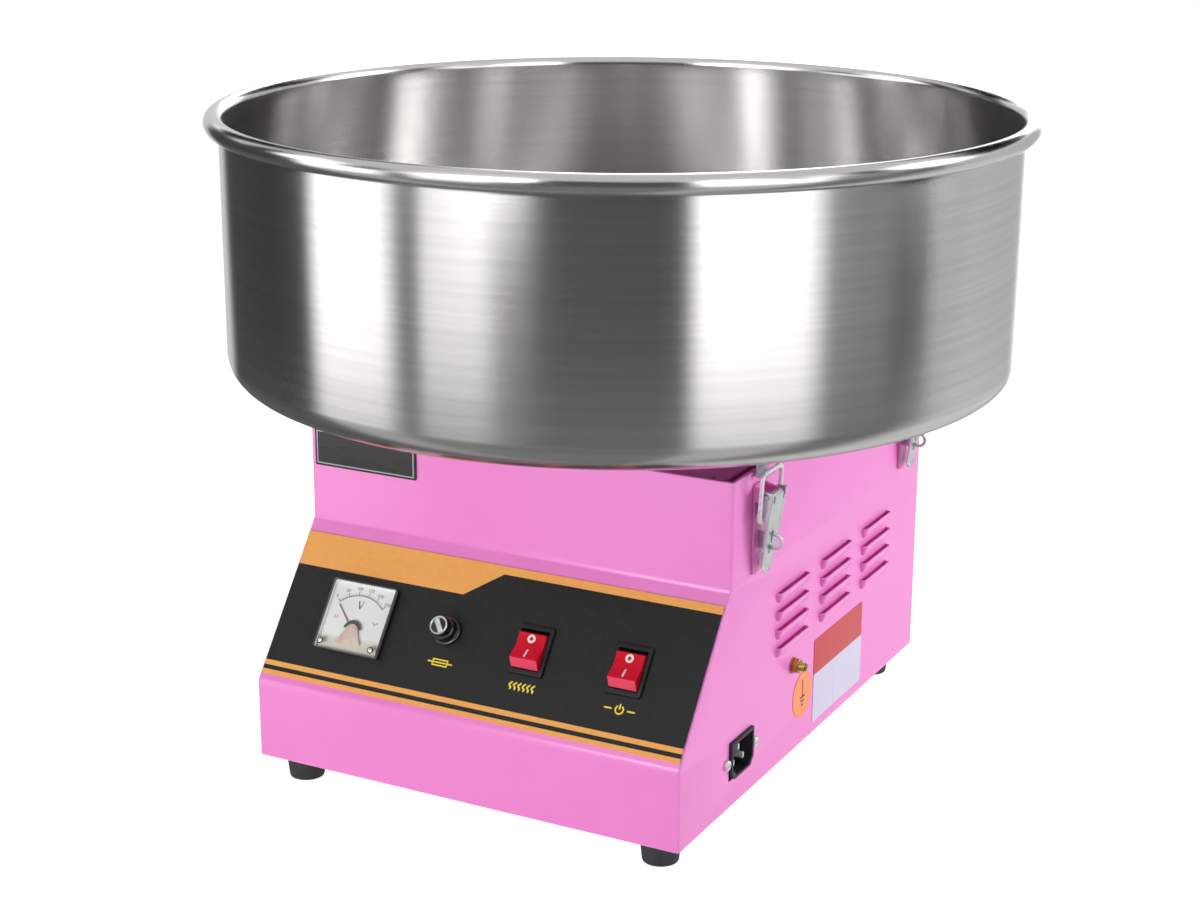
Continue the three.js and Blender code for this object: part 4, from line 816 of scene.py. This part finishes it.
def plane_spot(tree, place, turn):
    """The point on a piece, in millimetres, in a frame at this place and with this turn."""
    local = add_node(tree, "Mapping", {"Vector": own_spot(tree),
                                       "Location": [value / 1000 for value in place],
                                       "Rotation": [radians(angle) for angle in turn]},
                     vector_type="TEXTURE").outputs[0]
    large = add_node(tree, "VectorMath", {0: local, "Scale": 1000.0}, operation="SCALE").outputs[0]
    return add_node(tree, "SeparateXYZ", {0: large}).outputs


film, tree, shader = new_finish("printed_film", Coat_Weight=0.05, Specular_IOR_Level=0.2)
spot = plane_spot(tree, SLOPE_TOP, SLOPE_TURN)
down = calc(tree, "MULTIPLY", spot["Y"], -1.0)
header = calc(tree, "LESS_THAN", down, mapped(tree, spot["X"], -23.6, -0.4, 32.2, 15.2))
stripes = calc(tree, "MAXIMUM",
               *[calc(tree, "COMPARE", down, middle, 1.6) for middle in (97.7, 103.65)])
orange = calc(tree, "MAXIMUM", header, stripes)
haze = grain(tree, 260)
ink = blend_colour(tree, haze["Mask"], (31, 31, 32), (37, 36, 37))
print_orange = blend_colour(tree, haze["Mask"], (252, 178, 96), (255, 186, 106))
feed(shader, Base_Color=blend_colour(tree, orange, ink, print_orange),
     Roughness=scaled(tree, haze["Mask"], 0.34, 0.44),
     Normal=bump(tree, grain(tree, 1400)["Height"], 0.05, 0.0001))
dress(film, "control_overlay")

PRINT_LOW = 0.7
PRINT_HIGH = 0.86


def stroke(points, width, low=PRINT_LOW, high=PRINT_HIGH):
    """A printed line of one width along some points."""
    edges = {1: [], -1: []}
    for i, (x, y) in enumerate(points):
        before, after = Vector(points[max(i - 1, 0)]), Vector(points[min(i + 1, len(points) - 1)])
        along = (after - before).normalized()
        for side, edge in edges.items():
            edge.append((x - side * along.y * width / 2, y + side * along.x * width / 2))
    return drawn("line", edges[1] + edges[-1][::-1], low, high)


def wave(x, y, height, swing):
    """Points up a wavy line."""
    return [(x + swing * sin(2 * pi * i / 12), y + height * i / 16) for i in range(17)]


yellow_ink = speckled("yellow_ink", (252, 220, 62), (255, 232, 92), 500, (0.45, 0.55))
signs = {
    "fuse_sign": (-24.5, 76.3, [
        stroke(ends, 0.9) for ends in (
            [(-8.5, 0), (8.5, 0)], [(-5, -1.8), (5, -1.8)], [(-5, 1.8), (5, 1.8)],
            [(-5, -2.2), (-5, 2.2)], [(5, -2.2), (5, 2.2)])]),
    "heat_sign": (33.2, 80.6, [
        stroke(wave(x, -2.4, 4.8, 0.7), 1.1) for x in (-7.5, -4.5, -1.5, 1.5, 4.5, 7.5)]),
    "power_sign": (98.6, 81.4, [
        stroke(line, 1.0) for line in (
            arc(0, -0.3, 2.5, 125, 415, 28), [(0, -0.2), (0, 3.2)],
            [(-10, -0.3), (-5, -0.3)], [(5, -0.3), (10, -0.3)])])}
for name, (x, down, lines) in signs.items():
    sign = join(*lines)
    sign.name = name
    settle(sign, yellow_ink, "machine", (), on_slope(x, down), SLOPE_TURN)

# Name plate: a dark anodised plate with a thin pale border, left bare, stuck to the upper front.
PLATE = (-105, -141.8, 202)
PLATE_TURN = (90, 0, 0)
PLATE_SIZE = (74, 24, 1)
plate_film, tree, shader = new_finish("plate_film", Metallic=0.3, Specular_IOR_Level=0.4)
spot = plane_spot(tree, PLATE, PLATE_TURN)
beyond = [calc(tree, "SUBTRACT", calc(tree, "ABSOLUTE", spot[axis], 0.0), extent / 2)
          for axis, extent in zip("XY", PLATE_SIZE)]
border = calc(tree, "COMPARE", calc(tree, "MAXIMUM", *beyond), -1.7, 0.35)
brushed = grain(tree, 900, (0.06, 1, 1))
dark = blend_colour(tree, brushed["Mask"], (56, 56, 57), (70, 70, 71))
feed(shader, Base_Color=blend_colour(tree, border, dark, (196, 190, 194)),
     Roughness=scaled(tree, brushed["Mask"], 0.35, 0.5))
plate = block("bare_name_plate", PLATE_SIZE, corner=0.8, edge=0.2)
settle(plate, plate_film, "machine", ["name_plate"], PLATE, PLATE_TURN)

# Voltmeter: a black case behind the panel, a white printed dial, a needle on a spindle and a clear
# moulded cover held by two small screws.
METER_PIVOT = -8
moulded = speckled("black_moulding", (22, 22, 24), (30, 30, 32), 600, (0.42, 0.56), 0.00005,
                   Specular_IOR_Level=0.25)
case = welded(block("meter_back", (45, 45, 1.2), (0, 0, 1.7), 1.0, 0.2),
              rod("barrel", 19, 25.6, (0, 0, -11.2), 0.8, 64))
carve(case, rod("bore", 5, 30, (0, METER_PIVOT, -5)))
settle(case, moulded, "machine", ["meter_case"], METER, SLOPE_TURN)

paper, tree, shader = new_finish("dial_paper", Specular_IOR_Level=0.3)
spot = plane_spot(tree, METER, SLOPE_TURN)
mottle = grain(tree, 330)
white = blend_colour(tree, mottle["Mask"], (246, 249, 245), (252, 254, 251))
lower = mapped(tree, spot["Y"], -11.5, -15.5, interpolation_type="SMOOTHSTEP")
feed(shader, Base_Color=blend_colour(tree, lower, white, (228, 223, 208)),
     Roughness=scaled(tree, mottle["Mask"], 0.5, 0.65))
dial = block("dial_plate", (43.4, 43.4, 0.5), (0, 0, 2.85), 0.5, 0.08)
carve(dial, rod("hole", 2.6, 4, (0, METER_PIVOT, 3)))
settle(dial, paper, "machine", ["meter_dial"], METER, SLOPE_TURN)
liner = join(block("dial_liner", (0.5, 43.4, 2.1), (-21.45, 0, 4.1), 0, 0.1),
             block("liner_top", (43.4, 0.5, 2.1), (0, 21.45, 4.1), 0, 0.1))
settle(liner, paper, "machine", (), METER, SLOPE_TURN)

DIAL_LOW = 3.08
DIAL_HIGH = 3.14


def figures(words, height, x, y):
    """Plain figures on the dial, as a thin solid centred on a point."""
    if bpy.context.mode != "OBJECT":
        bpy.ops.object.mode_set(mode="OBJECT")
    bpy.ops.object.text_add()
    text = bpy.context.object
    text.data.body = words
    text.data.size = 1.4 * height
    text.data.extrude = (DIAL_HIGH - DIAL_LOW) / 2
    text.data.align_x = "CENTER"
    text.data.align_y = "CENTER"
    choose(text)
    bpy.ops.object.convert(target="MESH")
    return put(bpy.context.object, (x, y, (DIAL_LOW + DIAL_HIGH) / 2))


def dial_line(points, width):
    """A line printed on the dial."""
    return stroke(points, width, DIAL_LOW, DIAL_HIGH)


ARC_RADIUS = 22.6
ARC_START = 133
ARC_SWEEP = 86
STEPS = 25
# a mark for every 10 volts, each fifth one longer and with its figure
marks = [dial_line(arc(0, METER_PIVOT, ARC_RADIUS, ARC_START, ARC_START - ARC_SWEEP, 40), 0.5)]
for i in range(STEPS + 1):
    angle = radians(ARC_START - ARC_SWEEP * i / STEPS)
    numbered = i % 5 == 0
    near, far, middle = [(reach * cos(angle), METER_PIVOT + reach * sin(angle)) for reach in
                         (ARC_RADIUS, ARC_RADIUS + (2.6 if numbered else 1.4), ARC_RADIUS + 4.4)]
    marks.append(dial_line([near, far], 0.45 if numbered else 0.25))
    if numbered:
        marks.append(figures(str(10 * i), 2.1, *middle))
marks += [dial_line([(-1.7, 11.2), (0, 6)], 0.85), dial_line([(0, 6), (1.7, 11.2)], 0.6),
          put(dial_line(wave(0, 0, 4, 0.8), 0.4), (16, -1.4, 0), (0, 0, 90)),
          figures("2.5", 1.9, -14.5, -1)]
dial_print = join(*marks)
dial_print.name = "dial_print"
dark_ink = speckled("dark_ink", (36, 38, 40), (52, 54, 56), 500, (0.5, 0.6))
settle(dial_print, dark_ink, "machine", (), METER, SLOPE_TURN)

needle = welded(drawn("pointer", [(-0.5, 0), (0.5, 0), (0.28, 21), (-0.28, 21)], 3.4, 3.9),
                rod("hub", 2.2, 0.5, (0, 0, 3.65), 0, 32),
                block("tail", (1.6, 3.5, 0.5), (0, -1.75, 3.65)),
                rod("spindle", 0.8, 9.6, (0, 0, -1.2), 0, 20))
softened(needle, 0.06, 2)
needle_paint, tree, shader = new_finish("needle_paint")
spot = plane_spot(tree, METER, SLOPE_TURN)
above_pivot = calc(tree, "SUBTRACT", spot["Y"], METER_PIVOT)
from_pivot = add_node(tree, "CombineXYZ", {0: spot["X"], 1: above_pivot}).outputs[0]
reach = add_node(tree, "VectorMath", {0: from_pivot}, operation="LENGTH").outputs["Value"]
red_part = calc(tree, "COMPARE", reach, 12.0, 3.5)
speck = grain(tree, 700)
red = blend_colour(tree, speck["Mask"], (205, 60, 70), (222, 84, 92))
feed(shader, Base_Color=blend_colour(tree, red_part, (120, 110, 110), red),
     Roughness=scaled(tree, speck["Mask"], 0.35, 0.5))
put(needle, (0, METER_PIVOT, 0), (0, 0, 45))
settle(needle, needle_paint, "needle", ["meter_needle"], METER, SLOPE_TURN)

# a black half ring over the pivot, a dark piece put where the dial shows only an arch of shade
pivot_shade_arch = softened(drawn("pivot_shade_arch", arc(0, METER_PIVOT, 6.4, 8, 172, 24), 4.1, 4.5), 0.12, 2)
settle(pivot_shade_arch, moulded, "machine", (), METER, SLOPE_TURN)
pivot_film, tree, shader = new_finish("pivot_film", Specular_IOR_Level=0.4)
mottle = grain(tree, 210)
faded = grain(tree, 90)
blush = blend_colour(tree, mottle["Mask"], (206, 148, 140), (226, 200, 180))
feed(shader, Base_Color=blend_colour(tree, faded["Mask"], blush, (232, 224, 206)),
     Roughness=scaled(tree, mottle["Mask"], 0.45, 0.6))
pivot_cover = drawn("pivot_cover", [*arc(0, METER_PIVOT - 0.8, 4.6, 0, 180, 16), (-9, -17.2),
                                    (9, -17.2)], 4.55, 4.75)
settle(softened(pivot_cover, 0.06, 2), pivot_film, "machine", (), METER, SLOPE_TURN)

clear, tree, shader = new_finish("clear_cover", IOR=1.49, Coat_Weight=0.3)
scuffs = grain(tree, 420)
shade = blend_colour(tree, scuffs["Mask"], (238, 243, 242), (248, 251, 250))
# the cover's walls, whose faces don't look out of the slope, are less clear, and their grey is painted
# shade
facing = add_node(tree, "NewGeometry").outputs["Normal"]
flat = add_node(tree, "VectorMath", {0: facing, 1: (0, -SLOPE_DOWN, SLOPE_BACK)},
                operation="DOT_PRODUCT").outputs["Value"]
wall = calc(tree, "LESS_THAN", calc(tree, "ABSOLUTE", flat, 0.0), 0.5)
edge_on = add_node(tree, "LayerWeight", {"Blend": 0.35}).outputs["Facing"]
haze = calc(tree, "MAXIMUM", scaled(tree, edge_on, 0.02, 0.32), calc(tree, "MULTIPLY", wall, 0.75))
feed(shader, Base_Color=blend_colour(tree, wall, shade, (150, 152, 148)),
     Roughness=scaled(tree, scuffs["Mask"], 0.04, 0.09), Alpha=haze)
cover = block("clear_cover", (45, 45, 3.6), (0, 0, 4.4), 1.2, 0.3)
carve(cover, block("hollow", (43.8, 43.8, 4), (0, 0, 3.2)))
settle(cover, clear, "machine", ["meter_window"], METER, SLOPE_TURN)
tiny = pan_screw(1.5, 0.5, slot=False)
carve(tiny, block("slot", (2.4, 0.4, 1), (0, 0, 0.75)))
rims = turned("rims", [(1.45, 6.1), (2.1, 6.1), (2.1, 6.4), (1.45, 6.4), (1.45, 6.1)], 32, False)
put(tiny, (0, 0, 6.2))
CORNER = 18.3
for kind, part, finish, slot in (("screws", tiny, plating, "zinc"),
                                 ("rims", rims, moulded, "black_plastic")):
    pair = join(copied(part, f"cover_{kind}", (-CORNER, -CORNER, 0)),
                copied(part, "twin", (CORNER, -CORNER, 0)))
    settle(pair, finish, "machine", (), METER, SLOPE_TURN)
    discard(part)

# Fuse: a round black holder nutted through the panel, a screwed cap with a coin slot and a bright
# contact in its middle, and a glass link behind the cap.
glossy = speckled("glossy_black", (16, 16, 18), (24, 24, 26), 500, (0.18, 0.28),
                  edge_wear_and_highlight=(0.0004, 400.0, (54, 54, 56)), Coat_Weight=0.6, Coat_Roughness=0.06)
holder = turned("fuse_body", [(3.6, -30), (6, -30), (6, 1.1), (9.2, 1.1), (9.2, 2.6), (8.7, 3.1),
                              (7.9, 3.1), (7.6, 3.5), (7.6, 8.2), (7.0, 9.1), (3.6, 9.1),
                              (3.6, -30)], 64, False)
softened(holder, 0.15, 2)
settle(holder, glossy, "machine", ["fuse_holder"], FUSE, SLOPE_TURN)
cap = turned("fuse_lid", [(3.3, 1.4), (3.3, 9.4), (6.4, 9.4), (6.4, 13), (6.2, 13.5), (5.8, 13.6),
                          (4.7, 12.6)], 64)
softened(cap, 0.12, 2)
settle(cap, glossy, "fuse", ["fuse_cap"], FUSE, SLOPE_TURN)
rim = turned("fuse_contact", [(4.7, 12.6), (5.75, 12.9), (5.75, 13.7), (5.5, 14), (5, 14), (4.7, 13.7),
                              (4.7, 12.6)], 48, False)
contact_bar = block("bar", (9.9, 3.4, 1.1), (0, 0, 13.1), 0.4, 0.3)
settle(put(welded(rim, contact_bar), turn=(0, 0, 126)), plating, "fuse", (), FUSE, SLOPE_TURN)
glass = speckled("link_glass", (228, 234, 234), (240, 244, 244), 300, (0.02, 0.08), IOR=1.5,
                 Transmission_Weight=0.9)
dress(glass, "fuse_link")

# Rocker switches: black moulded bodies snapped into the panel, each with a bezel and a red key that
# rocks on a pin. The key carries a white O and I.
# below this the key's paint is rubbed dull, as in the photo
MATT_BELOW = -65.5
red_key, tree, shader = new_finish("red_key", Specular_IOR_Level=0.35)
speck = grain(tree, 420)
shade = blend_colour(tree, speck["Mask"], (222, 14, 44), (232, 20, 50))
spot = plane_spot(tree, SLOPE_TOP, SLOPE_TURN)
facing = add_node(tree, "SeparateXYZ", {0: add_node(tree, "NewGeometry").outputs["Normal"]}).outputs
front = calc(tree, "LESS_THAN", calc(tree, "ABSOLUTE", facing["X"], 0.0), 0.5)
matt_end = calc(tree, "MULTIPLY", front, calc(tree, "LESS_THAN", spot["Y"], MATT_BELOW))
shade = blend_colour(tree, matt_end, shade, (232, 74, 100))
wear = worn_and_highlit_edges(tree, 0.0007, 200.0)
feed(shader, Base_Color=blend_colour(tree, wear, shade, (228, 84, 104)),
     Roughness=scaled(tree, speck["Mask"], 0.26, 0.36),
     Normal=bump(tree, grain(tree, 1500)["Height"], 0.06, 0.0001))
white_ink = speckled("white_ink", (236, 232, 234), (248, 246, 247), 500, (0.4, 0.5))

KEY_FACE = ((-8, -6), (8, -6), (12, -1), (8.6, 5.4), (0, 3.4), (-8.6, 5.4), (-12, -1))
KEY_REST = -11.46
key = put(drawn("key", KEY_FACE, -9.2, 9.2), turn=SIDE_TURN)
softened(key, 0.45)
INK = 0.12
KEY_SLANT = 13.1
ring = turned("ring", [(1.2, 0), (2.65, 0), (2.65, INK), (1.2, INK), (1.2, 0)], 40, False)
put(ring, (0, 5.3, 4.61), (KEY_SLANT, 0, 0))
bar = put(block("bar", (1.25, 5.6, INK), (0, 0, INK / 2)), (0, -4.3, 4.38), (-KEY_SLANT, 0, 0))
key_print = join(ring, bar)
body = block("switch_body", (24, 31, 1.6), (0, 0, 1.9), 1.5, 0.5)
body = welded(body, block("back", (21.6, 28.6, 25.6), (0, 0, -11.2), 0.6))
carve(body, block("window", (19.2, 24.8, 14), (0, 0, -2.3)))
for name, place in SWITCHES.items():
    settle(copied(body, f"{name}_bezel"), moulded, "machine", [f"{name}_switch_body"],
           place, SLOPE_TURN)
    for part, finish, replaced in ((key, red_key, [f"{name}_rocker"]), (key_print, white_ink, ())):
        one = copied(part, f"{name}_key" if replaced else f"{name}_key_print", (0, 0, 1.7),
                     (KEY_REST, 0, 0))
        settle(one, finish, f"{name}_key", replaced, place, SLOPE_TURN)
discard(key, key_print, body)

# Mains inlet: a black moulding with three flat pins, its ears behind the sheet and two pan-head
# screws through them.
def inlet_outline(width, height, cut=5):
    """A rectangle with its two lower corners cut off, given half its width and half its height."""
    return [(-width + cut, -height), (width - cut, -height), (width, -height + cut), (width, height),
            (-width, height), (-width, -height + cut)]


inlet = softened(drawn("inlet_moulding", inlet_outline(16, 12.25), -22, 2), 0.5)
SCREW_AWAY = 20
ears = drawn("ears", [*arc(SCREW_AWAY, -5, 5, 270, 360, 6), *arc(SCREW_AWAY, 5, 5, 0, 90, 6),
                      *arc(-SCREW_AWAY, 5, 5, 90, 180, 6), *arc(-SCREW_AWAY, -5, 5, 180, 270, 6)],
             -4.5, -1.5)
welded(inlet, ears)
carve(inlet, softened(drawn("cavity", inlet_outline(14, 10.25), -14, 4), 0.5, 2),
      *[rod("hole", 1.9, 20, (side * SCREW_AWAY, 0, 0)) for side in (-1, 1)])
inlet_black = speckled("inlet_black", (26, 26, 29), (40, 40, 44), 500, (0.35, 0.5),
                       edge_wear_and_highlight=(0.0009, 300.0, (92, 92, 98)), Specular_IOR_Level=0.5)
settle(inlet, inlet_black, "machine", ["inlet_socket"], INLET, SIDE_TURN)
pins = join(*[block("pin", (2, 4, 14), (x, y, -8), 0.4, 0.5) for x, y in ((-7, -4), (7, -4), (0, 4))])
pins.name = "inlet_pins"
settle(pins, bright_wire, "machine", (), INLET, SIDE_TURN)
for name, x in (("front", -SCREW_AWAY), ("rear", SCREW_AWAY)):
    head = welded(pan_screw(3.4, 2.2), rod("thread", 1.6, 9.5, (0, 0, -4.6), 0.3, 20))
    settle(put(head, (x, 0, 0.3)), bright_wire, "machine", [f"inlet_screw_{name}"], INLET,
           SIDE_TURN)

# Earth stud: a brass screw through the wall, its head inside, with a washer and a hexagon nut
# outside. Below it is a round orange tag with the earth sign.
brass = speckled("brass", (176, 146, 74), (204, 174, 98), 350, (0.22, 0.36), 0.00005, Metallic=1.0)
stud = [(0.01, -4.5), (5.6, -4.5), (6, -4.1), (6, -1.9), (5.6, -1.5), (2.6, -1.5)]
for i in range(9):
    stud += [(2.9, -1 + 1.1 * i), (2.45, -0.45 + 1.1 * i)]
stud = turned("stud", [*stud, (2.2, 9.2), (1.2, 9.6), (0.01, 9.6)], 40)
washer = turned("washer", [(3, 0.3), (5.2, 0.3), (5.2, 1.1), (3, 1.1), (3, 0.3)], 40, False)
nut = rod("nut", 5, 3.6, (0, 0, 2.95), 0.35, 6)
settle(join(stud, washer, nut), brass, "machine", ["earth_stud"], EARTH, SIDE_TURN)
TAG = (CASE_HALF, -30, 50)
tag_film = speckled("orange_tag_film", (250, 148, 92), (255, 160, 106), 240, (0.35, 0.45))
tag = turned("earth_tag", [(15, 0.05), (15, 0.28), (14.9, 0.35)], 96)
settle(tag, tag_film, "machine", (), TAG, SIDE_TURN)
lines = [stroke([(0, -1), (0, 10)], 1.0, 0.3, 0.45)]
lines += [stroke([(-half, y), (half, y)], 1.1, 0.3, 0.45)
          for half, y in ((3.6, -1.5), (2.5, -4.2), (1.4, -6.9))]
sign = join(*lines)
sign.name = "earth_sign"
settle(sign, dark_ink, "machine", (), TAG, SIDE_TURN)

# Side plate: a two-tone printed film on the right wall, red over pale lilac, left bare.
side_film, tree, shader = new_finish("side_film", Specular_IOR_Level=0.4)
spot = plane_spot(tree, (0, 0, 0), (0, 0, 0))
speck = grain(tree, 260)
red = blend_colour(tree, speck["Mask"], (196, 78, 80), (206, 88, 88))
lilac = blend_colour(tree, speck["Mask"], (208, 207, 228), (216, 215, 234))
divider = calc(tree, "COMPARE", spot["Y"], 22.0, 0.35)
lower = blend_colour(tree, divider, lilac, (190, 186, 214))
upper = calc(tree, "GREATER_THAN", spot["Z"], 56.5)
feed(shader, Base_Color=blend_colour(tree, upper, lower, red),
     Roughness=scaled(tree, speck["Mask"], 0.35, 0.5))
side_plate = block("bare_side_plate", (82, 56, 0.3), (0, 0, 0.2), 1.2, 0.08)
settle(side_plate, side_film, "machine", (), (CASE_HALF, 29, 52), SIDE_TURN)

# Drive inside the casing: an enamelled motor hung on three rubber isolators, with a cast fan, brass
# slip rings, carbon brushes in their holder, and a ceramic terminal block.
enamel = speckled("motor_enamel", (34, 38, 42), (48, 52, 56), 180, (0.35, 0.5), 0.0002)
dress(enamel, "motor")
dress(rubber, "motor_isolator_1", "motor_isolator_2", "motor_isolator_3")
cast = speckled("cast_aluminium", (178, 181, 184), (204, 207, 209), 240, (0.34, 0.5), 0.0002,
                Metallic=1.0)
dress(cast, "cooling_fan")
dress(brass, "slip_ring_bush")
carbon = speckled("carbon", (30, 30, 32), (52, 52, 54), 600, (0.5, 0.7), 0.0001)
dress(carbon, "brush_lower", "brush_upper")
dress(moulded, "brush_holder")
ceramic = speckled("ceramic_white", (222, 220, 212), (236, 234, 228), 200, (0.3, 0.42), 0.0001)
dress(ceramic, "terminal_block")
ground = speckled("ground_steel", (176, 178, 182), (208, 210, 214), 500, (0.2, 0.34), 0.00005,
                  (1, 1, 0.05), Metallic=1.0)
shaft = turned("spindle_bar", [(0.01, 60.3), (4.4, 60.3), (5, 60.9), (5, 275.9), (4.6, 276.3),
                               (4.6, 285.2), (4, 286), (0.01, 286)], 48)
settle(shaft, ground, "spinner", ["drive_shaft"])

# Spinner head: a turned aluminium pan with a hub and three posts, a slotted steel band round a wavy
# heater ribbon, a dished lid with the sugar mouth, and a hexagon nut on the shaft.
HEAD_BOTTOM = 258
HEAD_FLOOR = 261
LID_BOTTOM = 287.6
NUT_MIDDLE = 280.3
THIRDS = [(48 * cos(angle), 48 * sin(angle)) for angle in (0, 2 * pi / 3, 4 * pi / 3)]
turned_aluminium, tree, shader = new_finish("turned_aluminium", Metallic=1.0, Anisotropic=0.6)
rings = round_lines(tree, shader, 900.0)
burnt = scaled(tree, grain(tree, 40)["Mask"], 0.0, 0.35)
shade = blend_colour(tree, rings, (188, 190, 192), (214, 216, 218))
feed(shader, Base_Color=blend_colour(tree, burnt, shade, (190, 176, 150)),
     Roughness=scaled(tree, rings, 0.22, 0.42), Normal=bump(tree, rings, 0.2, 0.0001))

pan = turned("head_pan", [(5.3, 0), (70, 0), *arc(70, 4, 4, -90, 0, 6), (74, 7.4), (73.4, 8),
                          (72.5, 8), (72, 7.5), (72, 3.4), (71.6, 3), (16.5, 3), (14.6, 3.6),
                          (14, 5), (14, 17.4), (13.4, 18), (5.3, 18), (5.3, 0)], 128, False)
posts = [rod("post", 4, 27.8, (x, y, 15.4), 0.4) for x, y in THIRDS]
settle(join(pan, *posts), turned_aluminium, "spinner", ["spinner_pan"],
       (0, 0, HEAD_BOTTOM))
BAND_RADIUS = 68.4
SLOTS = 24
band = turned("slotted_band", [(BAND_RADIUS, 0.3), (BAND_RADIUS, 26.3)], 192, False)
modify(band, "SOLIDIFY", thickness=1.2, offset=0)
cuts = [put(block("slot", (8, 3, 18), (BAND_RADIUS, 0, 13.3)), turn=(0, 0, 360 / SLOTS * (i + 0.5)))
        for i in range(SLOTS)]
carve(band, join(*cuts))
hot_steel = speckled("heated_steel", (170, 160, 140), (204, 204, 202), 60, (0.28, 0.42), 0.00005,
                     Metallic=1.0)
settle(band, hot_steel, "spinner", ["spinner_band"], (0, 0, HEAD_FLOOR))
COIL_RADIUS = 59.5
COIL_SWING = 2.2
COIL_WAVES = 14
ribbon = turned("heater_coil", [(COIL_RADIUS, 0.3), (COIL_RADIUS, 18.3)], 336, False)
for corner in ribbon.data.vertices:
    angle = Vector(corner.co.xy).angle_signed(Vector((1, 0)))
    grow = 1 + COIL_SWING / COIL_RADIUS * sin(COIL_WAVES * angle)
    corner.co.x *= grow
    corner.co.y *= grow
modify(ribbon, "SOLIDIFY", thickness=1.0, offset=0)
nichrome = speckled("nichrome", (120, 112, 104), (168, 160, 150), 200, (0.35, 0.5), 0.0001,
                    Metallic=1.0)
settle(ribbon, nichrome, "spinner", ["heater_ribbon"], (0, 0, HEAD_FLOOR))
lid = turned("head_lid", [(28, 0), (72, 0), (72, -4), (74, -4), (74, 0.8), (73.7, 1.6), (73, 2),
                          (33, 2), (31, 2.6), (29.8, 4), (29.5, 5.6), (28.9, 6), (28.2, 5.7),
                          (28, 5), (28, 0)], 128, False)
lid_screws = join(*[put(pan_screw(3.4, 1.8), (x, y, 2)) for x, y in THIRDS])
lid_screws.name = "lid_screws"
settle(lid, turned_aluminium, "spinner", ["spinner_lid"], (0, 0, LID_BOTTOM))
settle(lid_screws, zinc, "spinner", (), (0, 0, LID_BOTTOM))
nut = rod("head_nut", 9.81, 8, (0, 0, NUT_MIDDLE), 0.6, 6)
carve(nut, rod("bore", 5.05, 12, (0, 0, NUT_MIDDLE)))
settle(nut, zinc, "spinner", ["hub_nut"])
